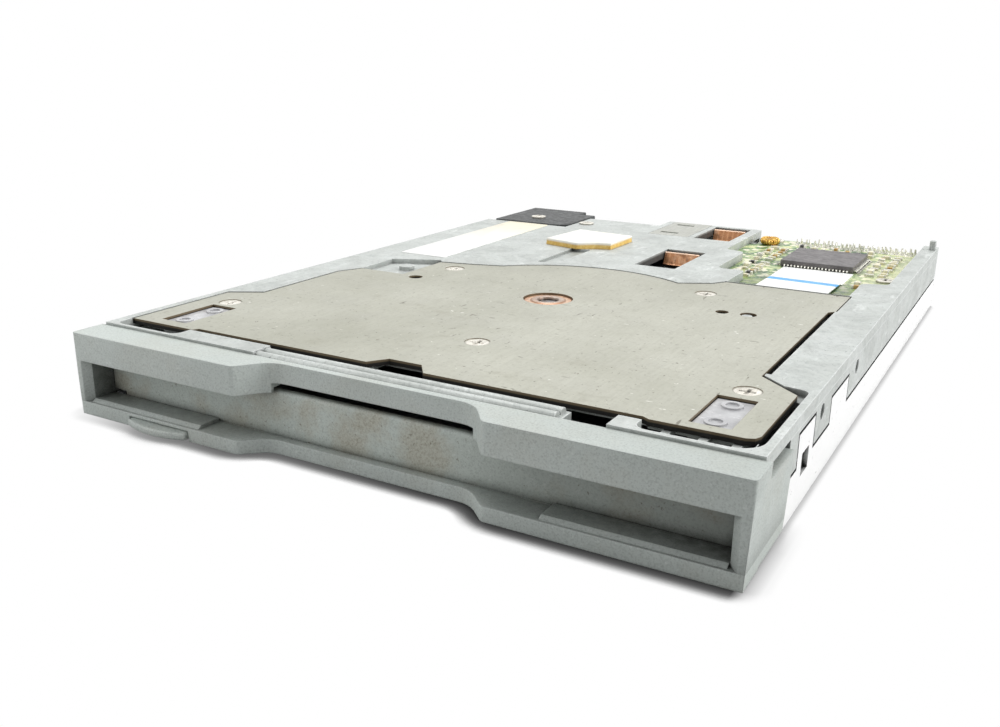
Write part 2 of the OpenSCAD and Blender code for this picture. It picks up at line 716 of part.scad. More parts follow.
// Eject button with a bowed face
module eject_button() color(plastic_grey) difference() {
    bow_r = (pow(button_w / 2, 2) + pow(button_bow, 2)) / (2 * button_bow);
    prism(button_z, button_top) intersection() {
        translate([button_x - button_w / 2, -button_proud - nick])
            square([button_w, button_back + button_proud + nick]);
        translate([button_x, bow_r - button_proud]) circle(r = bow_r, $fn = 96);
    }
    slab([button_x - arm_w / 2, arm_root, slide_z], [button_x + arm_w / 2, button_back + nick, slide_top]);
}

// Ear of the eject slide with the sloping slot that lifts one holder pin
module cam_ear(y) difference() {
    slab([ear_in, y - 2, slide_z], [ear_out, y + eject_travel + 2, lift_pin_z + lift + 1.4]);
    slope = atan2(lift, eject_travel);
    run = norm([lift, eject_travel]);
    r = lift_pin_r + 0.15;
    translate([ear_in - nick, y, lift_pin_z]) rotate([slope, 0, 0]) {
        translate([0, 0, -r]) cube([slide_t + 2 * nick, run, 2 * r]);
        for (s = [0, run]) translate([0, s, 0]) rotate([0, 90, 0]) cylinder(r = r, h = slide_t + 2 * nick);
    }
}

module eject_slide() color(steel) {
    difference() {
        slab([-ear_out, slide_front, slide_z], [ear_out, slide_rear, slide_top]);
        slab([-half_w + 12, slide_window_y[0], slide_z - nick],
             [half_w - 12, slide_window_y[1], slide_top + nick]);
        slab([-half_w + 20, slide_slot_y, slide_z - nick],
             [half_w - 20, slide_rear + nick, slide_top + nick]);
        slab([-8.5, slide_window_y[1] - nick, slide_z - nick], [8.5, slide_slot_y + nick, slide_top + nick]);
    }
    slab([button_x - arm_w / 2, arm_root, slide_z], [button_x + arm_w / 2, slide_front + nick, slide_top]);
    both_sides() {
        for (y = lift_pins_y) cam_ear(y);
        slab([spring_x - 1.7, slide_rear - 0.5, slide_z], [spring_x + 1.7, slide_rear, spring_z + spring_r]);
    }
}

// Two compressed springs behind the eject slide
module eject_springs() color(steel) both_sides()
    sleeve_y(spring_x, slide_rear, spring_rear, spring_z, spring_r, spring_r - 0.35);

// Disk holder: floor, sides and inturned rails, with a shelf for the latch lever
module disk_holder() color(steel) difference() {
    union() {
        slab([-holder_x, holder_front, holder_z], [holder_x, holder_rear, bay_z]);
        both_sides() {
            slab([bay_x, holder_front, holder_z], [holder_x, holder_rear, bay_top + holder_t]);
            slab([holder_x - rail_w, holder_front + 2, bay_top], [holder_x, rail_rear, bay_top + holder_t]);
        }
        slab([-holder_x, holder_rear - nick, holder_z], [-bay_x, shelf_rear, bay_top + holder_t]);
        slab([-holder_x, rail_rear - nick, bay_top], [shelf_x, shelf_rear, bay_top + holder_t]);
    }
    slab([-arm_slot_x, arm_slot_y, holder_z - nick], [arm_slot_x, holder_rear + nick, bay_z + nick]);
    post(lever_x, lever_y, bay_top - nick, bay_top + holder_t + nick, lever_pin_r);
    both_sides() for (y = lift_pins_y)
        bar_x(bay_x - nick, holder_x + nick, y, lift_pin_z, lift_pin_r);
}

// Pins riveted into the holder: four that the eject slide lifts, and the latch lever's pivot
module holder_pins() color(steel) {
    both_sides() for (y = lift_pins_y) bar_x(bay_x, lift_pin_end, y, lift_pin_z, lift_pin_r);
    post(lever_x, lever_y, bay_top - latch_spring_h, lever_z + lever_t + 0.05, lever_pin_r);
    post(lever_x, lever_y, lever_z + lever_t + 0.05, lever_z + lever_t + 0.25, lever_pin_r + 0.5);
}

// Latch lever whose finger the disk's front edge swings aside
module latch_lever() color(steel) translate([lever_x, lever_y, 0]) rotate(lever_rest) difference() {
    union() {
        slab([0, -lever_w / 2, lever_z], [lever_l, lever_w / 2, lever_z + lever_t]);
        post(0, 0, lever_z, lever_z + lever_t, lever_pin_r + 1);
        post(lever_l, 0, lever_z, lever_z + lever_t, lever_w / 2);
        post(lever_l, 0, bay_z + 0.6, lever_z + nick, finger_r);
    }
    post(0, 0, lever_z - nick, lever_z + lever_t + nick, lever_pin_r + pin_gap);
}

// Coil of the latch lever's return spring, round the pin's lower end
module latch_spring() color(steel) difference() {
    post(lever_x, lever_y, bay_top - latch_spring_h, bay_top, lever_pin_r + 0.5);
    post(lever_x, lever_y, bay_top - latch_spring_h - nick, bay_top + nick, lever_pin_r);
}

// Motor plate with its windows and holes
module motor_plate() color(plate_olive) difference() {
    prism(plate_z, plate_top) plate_plan();
    for (p = plate_screws) {
        post(p.x, p.y, plate_z - nick, plate_top + nick, screw_r + head_gap);
        translate([p.x, p.y, plate_top - head_drop - sink_h])
            cylinder(r1 = screw_r + head_gap, r2 = head_r + head_gap, h = sink_h);
        post(p.x, p.y, plate_top - head_drop, plate_top + nick, head_r + head_gap);
    }
    for (p = plate_holes) post(p.x, p.y, plate_z - nick, plate_top + nick, p.z);
    post(spindle_x, spindle_y, plate_z - nick, plate_top + nick, bearing_d / 2);
    for (s = [-1, 1])
        slab([s * switch_x - switch_w / 2 - seat_gap / 2, switch_y - seat_gap / 2, plate_z - nick],
             [s * switch_x + switch_w / 2 + seat_gap / 2, switch_y + switch_l + seat_gap / 2,
              plate_top + nick]);
}

// Flat-headed screws sunk into the plate
module motor_plate_screws() color(steel) for (p = plate_screws) translate([p.x, p.y, plate_top - head_drop])
    difference() {
        shank = plate_top - head_drop - deck_z + 0.6;
        union() {
            translate([0, 0, -sink_h]) cylinder(r1 = screw_r, r2 = head_r, h = sink_h);
            translate([0, 0, -shank]) cylinder(r = screw_r, h = shank - sink_h + nick);
        }
        cross_recess(0);
    }

// Bearing of the spindle, sunk a little below the plate's top
module spindle_bearing() color(bronze) translate([spindle_x, spindle_y, 0]) difference() {
    union() {
        post(0, 0, plate_z - nick, plate_top - bearing_drop, bearing_d / 2);
        post(0, 0, plate_z - 1.6, plate_z, bearing_body_r);
        post(0, 0, plate_top - bearing_drop - nick, plate_top - 0.1, bearing_d / 2 - 1.4);
    }
    post(0, 0, yoke_z, body_h + 1, shaft_r + pin_gap);
}

// Stator: a ring of poles with a coil on each
pole_r = rotor_r - rim_t - magnet_t - air_gap;
pole_z = plate_z - 1.4;
module stator_core() color(magnet_grey) translate([spindle_x, spindle_y, pole_z]) difference() {
    union() {
        cylinder(r = bearing_body_r + 3, h = 1);
        for (i = [0:pole_count - 1]) rotate(i * 360 / pole_count) {
            slab([bearing_body_r + 2, -1.1, 0], [pole_r - 1, 1.1, 1]);
            intersection() {
                slab([pole_r - 1.4, -4, 0], [pole_r + 1, 4, 1]);
                cylinder(r = pole_r, h = 1);
            }
        }
    }
    translate([0, 0, -nick]) cylinder(r = bearing_body_r, h = 1 + 2 * nick);
}

module stator_coils() color(copper) translate([spindle_x, spindle_y, pole_z])
    for (i = [0:pole_count - 1]) rotate(i * 360 / pole_count) difference() {
        slab([bearing_body_r + 3.6, -1.9, -0.35], [pole_r - 1.6, 1.9, 1.35]);
        slab([bearing_body_r + 3, -1.1, 0], [pole_r, 1.1, 1]);
    }

module spindle_shaft() color(steel)
    post(spindle_x, spindle_y, shaft_tip, plate_top - 2 * bearing_drop, shaft_r);

module rotor_yoke() color(steel) translate([spindle_x, spindle_y, 0]) difference() {
    union() {
        post(0, 0, yoke_z - yoke_t, yoke_z, rotor_r);
        difference() {
            post(0, 0, yoke_z - nick, plate_z - 0.4, rotor_r);
            post(0, 0, yoke_z - 2 * nick, plate_z, rotor_r - rim_t);
        }
    }
    post(0, 0, yoke_z - yoke_t - nick, yoke_z + nick, shaft_r);
    post(drive_pin_x, 0, yoke_z - yoke_t - nick, yoke_z + nick, drive_base_r + swing_gap);
}

module rotor_magnet() color(magnet_grey) translate([spindle_x, spindle_y, 0]) difference() {
    post(0, 0, yoke_z, plate_z - 0.5, rotor_r - rim_t);
    post(0, 0, yoke_z - nick, plate_z, rotor_r - rim_t - magnet_t);
}

module chuck_hub() color(steel) translate([spindle_x, spindle_y, 0]) difference() {
    post(0, 0, chuck_z, yoke_z - yoke_t, hub_r);
    post(0, 0, chuck_z - nick, yoke_z, shaft_r);
    post(drive_pin_x, 0, chuck_z - nick, yoke_z, drive_pin_r + 0.25);
    post(drive_pin_x, 0, chuck_z + 0.2, yoke_z, drive_base_r + swing_gap);
}

// Spring-loaded pin that turns the disk's hub
module drive_pin() color(bronze) translate([spindle_x + drive_pin_x, spindle_y, 0]) {
    post(0, 0, chuck_z - drive_pin_h, chuck_z + 0.3, drive_pin_r);
    post(0, 0, chuck_z + 0.2, chuck_z + 0.6, drive_base_r);
}

// Head carriage on its two rods, with the fixed arm of the lower head
module head_carriage() color(black_plastic) difference() {
    union() {
        slab([-carriage_x, carriage_y, carriage_z], [carriage_x, carriage_end, carriage_top]);
        slab([-head_arm_x, head_y - head_half, lower_arm_z],
             [head_arm_x, carriage_y + nick, lower_arm_z + lower_arm_t]);
        slab([-carriage_x - 2.4, follower_y - 0.8, rod_z - 1.4],
             [-carriage_x + nick, follower_y + 0.8, rod_z + 1.4]);
        slab([carriage_x - nick, flag_y, rod_z - 0.3], [carriage_x + 3.3, flag_y + 2, rod_z + 0.3]);
        both_sides() slab([head_arm_x + 1.1, arm_axis_y - 1.4, arm_axis_z - 1],
                          [head_arm_x + 2.6, arm_axis_y + 1.4, carriage_z + nick]);
    }
    for (x = [-rod_x, rod_x]) bar_y(x, carriage_y - nick, carriage_end + nick, rod_z, rod_r + pin_gap);
    both_sides() bar_x(head_arm_x + 1, head_arm_x + 2.7, arm_axis_y, arm_axis_z, arm_pin_r);
    bar_x(-carriage_x - 3, -carriage_x + 1, follower_y, rod_z, 0.5);
}

module lower_head() color(ivory)
    slab([-2, head_y - head_half, media_z], [2, head_y + head_half, lower_arm_z]);

// Swinging arm of the upper head, lowered clear of the disk's path
module head_arm() color(steel) difference() {
    union() {
        slab([-head_arm_x, head_y - head_half, arm_z], [head_arm_x, arm_knee, arm_z + arm_t]);
        slab([-head_arm_x, arm_knee - arm_t, arm_z], [head_arm_x, arm_knee, arm_axis_z + arm_t / 2]);
        slab([-head_arm_x, arm_knee - arm_t, arm_axis_z - arm_t / 2],
             [head_arm_x, arm_axis_y, arm_axis_z + arm_t / 2]);
        bar_x(-head_arm_x, head_arm_x, arm_axis_y, arm_axis_z, arm_pin_r + 0.35);
    }
    bar_x(-head_arm_x - nick, head_arm_x + nick, arm_axis_y, arm_axis_z, arm_pin_r + pin_gap);
    slab([-1.6, arm_axis_y - 1.3, arm_axis_z - 1.3], [1.6, arm_axis_y + 1.3, arm_axis_z + 1.3]);
}

module upper_head() color(ivory)
    slab([-2, head_y - head_half, arm_z + arm_t], [2, head_y + head_half, arm_z + arm_t + upper_head_h]);

module arm_pivot_pin() color(steel)
    bar_x(-head_arm_x - 2.6, head_arm_x + 2.6, arm_axis_y, arm_axis_z, arm_pin_r);

module arm_spring() color(steel) difference() {
    bar_x(-1.4, 1.4, arm_axis_y, arm_axis_z, arm_pin_r + 0.45);
    bar_x(-1.5, 1.5, arm_axis_y, arm_axis_z, arm_pin_r);
}

module follower_pin() color(steel)
    bar_x(screw_x + screw_r2 + seat_gap, -carriage_x + 1, follower_y, rod_z, 0.5);

module guide_rods() color(steel) for (x = [-rod_x, rod_x])
    bar_y(x, post_y, rear_post_y + post_t, rod_z, rod_r);

// Lead screw and the stepper motor that turns it
module lead_screw() color(steel) {
    bar_y(screw_x, bearing_post_y + seat_gap, screw_y + nick, rod_z, screw_pivot_r);
    bar_y(screw_x, screw_y, bracket_y - seat_gap, rod_z, screw_r2);
    bar_y(screw_x, bracket_y - 2 * seat_gap, can_y + can_l, rod_z, motor_shaft_r);
}

module screw_bearing() color(bronze)
    sleeve_y(screw_x, bearing_post_y, bearing_post_y + post_t, rod_z, 1.4, screw_pivot_r + pin_gap);

module stepper_can() color(steel) difference() {
    bar_y(screw_x, can_y, can_y + can_l, rod_z, can_r);
    bar_y(screw_x, can_y + can_wall, can_y + can_l - can_wall, rod_z, can_r - can_wall);
    bar_y(screw_x, can_y - nick, can_y + can_l + nick, rod_z, motor_shaft_r + pin_gap);
}

module stepper_coils() color(copper)
    sleeve_y(screw_x, can_y + can_wall, can_y + can_l - can_wall, rod_z,
             can_r - can_wall, can_r - can_wall - 0.9);

module stepper_rotor() color(magnet_grey)
    sleeve_y(screw_x, can_y + can_wall + 0.3, can_y + can_l - can_wall - 0.3, rod_z,
             can_r - can_wall - 0.9 - air_gap, motor_shaft_r);

module stepper_bracket() color(steel) difference() {
    union() {
        slab([screw_x - can_r - 0.6, bracket_y, rod_z - can_r], [screw_x + can_r, can_y, deck_z]);
        slab([screw_x - can_r - 5, bracket_y, deck_z - bracket_t], [screw_x, bracket_y + 6, deck_z]);
    }
    bar_y(screw_x, bracket_y - nick, can_y + nick, rod_z, motor_shaft_r + 0.3);
    bar_y(screw_x, can_y, can_y + can_l + nick, rod_z, can_r);
    post(stepper_screw.x, stepper_screw.y, deck_z - 1, deck_z + nick, screw_r);
}

// Circuit board and what stands on it
module control_board() color(board_green) difference() {
    prism(board_z, deck_z) board_plan(board_lip, board_rear);
    slab([0, rear_post_y - run_gap, board_z - nick], [rod_x + hanger_w / 2 + run_gap, rear_y, deck_z + nick]);
    for (p = board_screw_spots) post(p.x, p.y, board_z - nick, deck_z + nick, screw_r);
}

module control_chip() color(chip_grey)
    slab([chip_x - chip_w / 2, chip_y, deck_z + chip_lift],
         [chip_x + chip_w / 2, chip_y + chip_l, deck_z + chip_lift + chip_h]);

// One row of gull-wing legs along a chip side of length l
module leg_row(l, pitch = 0.65) {
    n = floor((l - 0.8) / pitch);
    for (i = [0:n - 1]) translate([(i - (n - 1) / 2) * pitch, 0, deck_z]) {
        slab([-0.15, -0.45, 0.4], [0.15, 0, 0.55]);
        slab([-0.15, -0.6, 0], [0.15, -0.45, 0.55]);
        slab([-0.15, -1.1, 0], [0.15, -0.45, 0.15]);
    }
}

module chip_pins() color(steel) {
    translate([chip_x, chip_y, 0]) leg_row(chip_w);
    translate([chip_x, chip_y + chip_l, 0]) rotate(180) leg_row(chip_w);
    translate([chip_x + chip_w / 2, chip_y + chip_l / 2, 0]) rotate(90) leg_row(chip_l);
    translate([chip_x - chip_w / 2, chip_y + chip_l / 2, 0]) rotate(-90) leg_row(chip_l);
}

// Small parts in rows on the board, their sizes stepping through three kinds
module part_field(x0, x1, y0, y1, dx = 2.3, dy = 2.1) {
    nx = floor((x1 - x0) / dx);
    ny = floor((y1 - y0) / dy);
    for (i = [0:nx - 1], j = [0:ny - 1]) {
        kind = (3 * i + 2 * j + i * j) % 3;
        size = [[1.6, 0.8, 0.6], [0.9, 1.5, 0.5], [1.3, 1.2, 0.9]][kind];
        translate([x0 + i * dx, y0 + j * dy, deck_z]) cube(size);
    }
}

module board_parts() color(ivory) {
    chip_left = chip_x - chip_w / 2 - 1.2;
    chip_right = chip_x + chip_w / 2 + 2.2;
    part_field(board_left + 5.6, chip_left, lobe_y[1] + 1.5, rear_y - 10.3);
    part_field(lobe_left + 1.7, chip_left, lobe_y[0] + 2.5, lobe_y[1]);
    part_field(chip_right, board_right - 0.8, lobe_y[0] + 3, lobe_y[0] + 8.5);
    part_field(chip_right, board_right - 0.8, lobe_y[1] - 3, rear_y - 7.8);
    part_field(chip_left, chip_right, chip_y + chip_l + 2.6, rear_y - 7.3);
}

module filter_coil() color(gold) translate([coil_at.x, coil_at.y, deck_z + 0.8])
    rotate_extrude() translate([1.3, 0]) circle(r = 0.8, $fn = 24);

module interface_connector() color(black_plastic) difference() {
    slab([connector_x[0], rear_y - connector_l, connector_z], [connector_x[1], rear_y, board_z]);
    slab([connector_x[0] + 1.5, rear_y - connector_l + 1.5, connector_z + 1.6],
         [connector_x[1] - 1.5, rear_y + nick, board_z - 1.6]);
}

module connector_pins() color(steel) for (i = [0:tail_count - 1], j = [0, 1])
    translate([connector_x[0] + 0.5 + (connector_x[1] - connector_x[0] - 1) * (i + j / 2) / tail_count,
               rear_y - 5 + 2 * j, deck_z]) cylinder(r1 = 0.36, r2 = 0.12, h = 1.3, $fn = 16);

module ribbon_socket() color(white_film)
    slab([ribbon_x - ribbon_w / 2 - 0.3, socket_y, deck_z],
         [ribbon_x + ribbon_w / 2 + 0.3, socket_y + socket_l, deck_z + socket_h]);

// Flat cable from under the plate, which comes down and lies on the socket's end
module motor_ribbon() color(white_film) {
    path = [[ribbon_front, plate_z - ribbon_t], [plate_rear + 1, plate_z - ribbon_t],
            [socket_y, deck_z + socket_h], [socket_y + 1.2, deck_z + socket_h]];
    last = len(path) - 1;
    rotate([90, 0, 90]) translate([0, 0, ribbon_x - ribbon_w / 2]) linear_extrude(ribbon_w)
        polygon(concat(path, [for (i = [last:-1:0]) path[i] + [0, ribbon_t]]));
}

// Flexible circuit of the heads: a strip that folds up into a ridge at the rear end of each window
flex_x = [window_x[0] + 0.2, rod_x - hanger_w / 2 - 0.3];
flex_run = 1.8;
flex_low = carriage_top + 0.2;
flex_high = deck_z - 0.2;
flex_t = 0.15;
flex_ridges = [window_y[1] - 1.5, rear_y - 2.9];
ridge_half = 1.35;
ridge_rise = body_h - 0.25 - flex_t - flex_low;
function ridge_z(d) = flex_low + ridge_rise * (0.5 + 0.5 * cos(180 * min(1, abs(d) / ridge_half)));
module head_flex() color(copper) {
    steps = 14;
    ds = [for (i = [0:steps]) -ridge_half + 2 * ridge_half * i / steps];
    wide = flex_x[1] - flex_x[0];
    for (y = flex_ridges) translate([flex_x[0], y, 0]) rotate([90, 0, 90]) linear_extrude(wide)
        polygon(concat([for (d = ds) [d, ridge_z(d)]],
                       [for (i = [steps:-1:0]) [ds[i], ridge_z(ds[i]) + flex_t]]));
    slab([flex_x[1] - flex_run, flex_ridges[0] + ridge_half - nick, flex_low],
         [flex_x[1], flex_ridges[1] - ridge_half + nick, flex_low + flex_t]);
    slab([flex_x[1] - 0.5, flex_ridges[0] + 0.45, flex_high],
         [lobe_left - board_lip, flex_ridges[0] + 4.45, flex_high + flex_t]);
}

// Sensor that sees the carriage's flag on the outermost track
module track_sensor() color(black_plastic) difference() {
    slab([carriage_x + 0.8, flag_y - 1, rod_z - 1.8], [carriage_x + 5, flag_y + 3, board_z]);
    slab([carriage_x, flag_y - 2, rod_z - 0.7], [carriage_x + 3.9, flag_y + 4, rod_z + 0.7]);
}

// Switch housings under the plate's windows, and their plungers
switch_z = deck_z - 0.8;
switch_top = plate_top - 0.4;
plunger_r = 0.7;
plunger_travel = 0.8;
plunger_top = deck_z - 0.1;
module media_switch(side, plungers) color(ivory) difference() {
    union() {
        slab([side * switch_x - switch_w / 2, switch_y, switch_z],
             [side * switch_x + switch_w / 2, switch_y + switch_l, switch_top]);
        for (y = [2, 8]) difference() {
            post(side * switch_x, switch_y + y, switch_top - nick, switch_top + 0.25, 1.3);
            post(side * switch_x, switch_y + y, switch_top, switch_top + 1, 0.8);
        }
    }
    for (y = plungers)
        post(side * switch_x, y, switch_z - nick, plunger_top + plunger_travel + pin_gap,
             plunger_r + pin_gap);
}

module plunger(x, y) color(black_plastic) post(x, y, chuck_z - plunger_travel, plunger_top, plunger_r);

disk_in_y = switch_y + 2.5;
corner_y = switch_y + 8;
module media_switch_left() media_switch(-1, [disk_in_y, corner_y]);
module media_switch_right() media_switch(1, [corner_y]);
module disk_in_plunger() plunger(-switch_x, disk_in_y);
module write_protect_plunger() plunger(-switch_x, corner_y);
module density_plunger() plunger(switch_x, corner_y);

// Pad, label, rear bracket and the steel plate over the rods
module spacer_pad() color(cream) translate([-15, spindle_y + 46.8, 0]) prism(body_h, body_h + pad_t)
    polygon([[-7, -5.6], [0.7, -7.4], [4, -5], [6.8, -4.2], [7, 6.2], [-5.6, 7.4]]);

module blank_label() color(white_film)
    slab([label_x - label_w / 2, label_y[0], body_h], [label_x + label_w / 2, label_y[1], body_h + label_t]);

module rear_bracket() color(black_plastic) difference() {
    union() {
        slab([-wall_in + seat_gap, bracket_front, deck_z], [bracket_x - 4, rear_y, bracket_top]);
        slab([bracket_x - 4 - nick, bracket_front + 4, deck_z], [bracket_x, deck_left_rear + 3, bracket_top]);
        post(bracket_x - 3.6, bracket_front + 3.6, deck_z, bracket_top, 3.6);
        slab([-wall_in + seat_gap, rear_y - 1.2, wall_z], [bracket_x - 4, rear_y, deck_z + nick]);
        slab([-wall_in + seat_gap, bracket_front + 12, wall_z + 5],
             [bracket_x - 12, rear_y - 1, deck_z + nick]);
    }
    post(bracket_screw.x, bracket_screw.y, deck_z - nick, bracket_top + nick, screw_r);
}

module rod_plate() color(plate_olive) difference() {
    slab([steel_patch_x[0] + seat_gap, rear_window_y + seat_gap, body_h - patch_t],
         [steel_patch_x[1] - seat_gap, rear_y, body_h]);
    for (y = [3, 13.5]) translate([steel_patch_x[0] + 1.6, rear_window_y + y, body_h - patch_t - nick])
        cube([4, 1.2, patch_t + 2 * nick]);
}

module deck_screws() color(steel) {
    for (p = board_screw_spots) cap_screw(p.x, p.y, deck_z, board_t + bite);
    cap_screw(bracket_screw.x, bracket_screw.y, bracket_top, bracket_top - deck_z + bite);
    cap_screw(stepper_screw.x, stepper_screw.y, body_h, deck_t + bracket_t);
}

// Shift from the bezel's face to the part's own origin
module placed() translate([0, -mid_y, 0]) children();

placed() main_frame();
placed() frame_walls();
placed() frame_hangers();
placed() case_cover();
placed() cover_screws();
placed() front_bezel();
placed() slot_door();
placed() door_spring();
placed() eject_button();
placed() eject_slide();
placed() eject_springs();
placed() disk_holder();
placed() holder_pins();
placed() latch_lever();
placed() latch_spring();
placed() motor_plate();
placed() motor_plate_screws();
placed() spindle_bearing();
placed() stator_core();
placed() stator_coils();
placed() spindle_shaft();
placed() rotor_yoke();
placed() rotor_magnet();
placed() chuck_hub();
placed() drive_pin();
placed() head_carriage();
placed() lower_head();
placed() head_arm();
placed() upper_head();
placed() arm_pivot_pin();
placed() arm_spring();
placed() follower_pin();
placed() guide_rods();
placed() lead_screw();
placed() screw_bearing();
placed() stepper_can();
placed() stepper_coils();
placed() stepper_rotor();
placed() stepper_bracket();
placed() control_board();
placed() control_chip();
placed() chip_pins();
placed() board_parts();
placed() filter_coil();
placed() interface_connector();
placed() connector_pins();
placed() ribbon_socket();
placed() motor_ribbon();
placed() head_flex();
placed() track_sensor();
placed() media_switch_left();
placed() media_switch_right();
placed() disk_in_plunger();
placed() write_protect_plunger();
placed() density_plunger();
placed() spacer_pad();
placed() blank_label();
placed() rear_bracket();
placed() rod_plate();
placed() deck_screws();
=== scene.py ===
import json
import math

import bmesh
import bpy
import numpy as np
from mathutils import Matrix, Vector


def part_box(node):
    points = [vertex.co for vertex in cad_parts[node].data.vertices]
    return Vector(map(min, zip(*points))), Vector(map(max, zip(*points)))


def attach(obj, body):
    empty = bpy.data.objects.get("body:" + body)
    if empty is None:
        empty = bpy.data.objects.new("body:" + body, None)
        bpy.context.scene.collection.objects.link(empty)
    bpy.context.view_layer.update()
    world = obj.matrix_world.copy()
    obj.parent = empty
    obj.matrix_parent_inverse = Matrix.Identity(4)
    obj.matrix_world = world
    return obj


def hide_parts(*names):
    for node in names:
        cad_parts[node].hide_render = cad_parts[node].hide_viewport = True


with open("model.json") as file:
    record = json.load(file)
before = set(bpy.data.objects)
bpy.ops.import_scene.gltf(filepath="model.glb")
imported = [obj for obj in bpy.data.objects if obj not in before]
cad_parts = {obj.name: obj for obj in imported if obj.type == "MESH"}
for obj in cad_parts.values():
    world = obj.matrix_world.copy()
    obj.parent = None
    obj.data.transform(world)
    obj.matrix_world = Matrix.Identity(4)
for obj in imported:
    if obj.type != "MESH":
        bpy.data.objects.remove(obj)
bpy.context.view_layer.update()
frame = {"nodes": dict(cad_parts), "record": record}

# Drive millimetres: X to the right, Y from the bezel's face to the rear, Z up from the floor.
MM = 1e-3
FACE_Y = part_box("front_bezel")[0].y
FACE_MM = FACE_Y * 1e3
BODY_OF = {n: b for b, ns in frame["record"]["behaviour"]["bodies"].items() for n in ns}
SLOT_OF = {p["node"]: p["material_slot"] for p in frame["record"]["subparts"]}
DECK, PLATE_TOP, TOP = 10.8, 12.3, 12.4
FILM = 0.15
SPINDLE = np.array([-0.3, 52.0])
CHIP, CHIP_HALF = np.array([29.9, 112.1]), (6.8, 7.3)
WINDOW_X, WINDOWS_Y = (1.2, 9.2), (84.0, 132.4)
WHITE = (1.0, 1.0, 1.0, 1.0)


def row_frame(points):
    """Points in drive millimetres as points of the part's frame in metres."""
    return np.asarray(points, float) * MM + np.array([0, FACE_Y, 0])


# Colours and materials

def tint(r, g, b):
    """A display colour from 0 to 255 as the linear colour that renders to it."""
    c = np.array([r, g, b]) / 255
    return tuple(np.where(c <= 0.04045, c / 12.92, ((c + 0.055) / 1.055) ** 2.4)) + (1.0,)


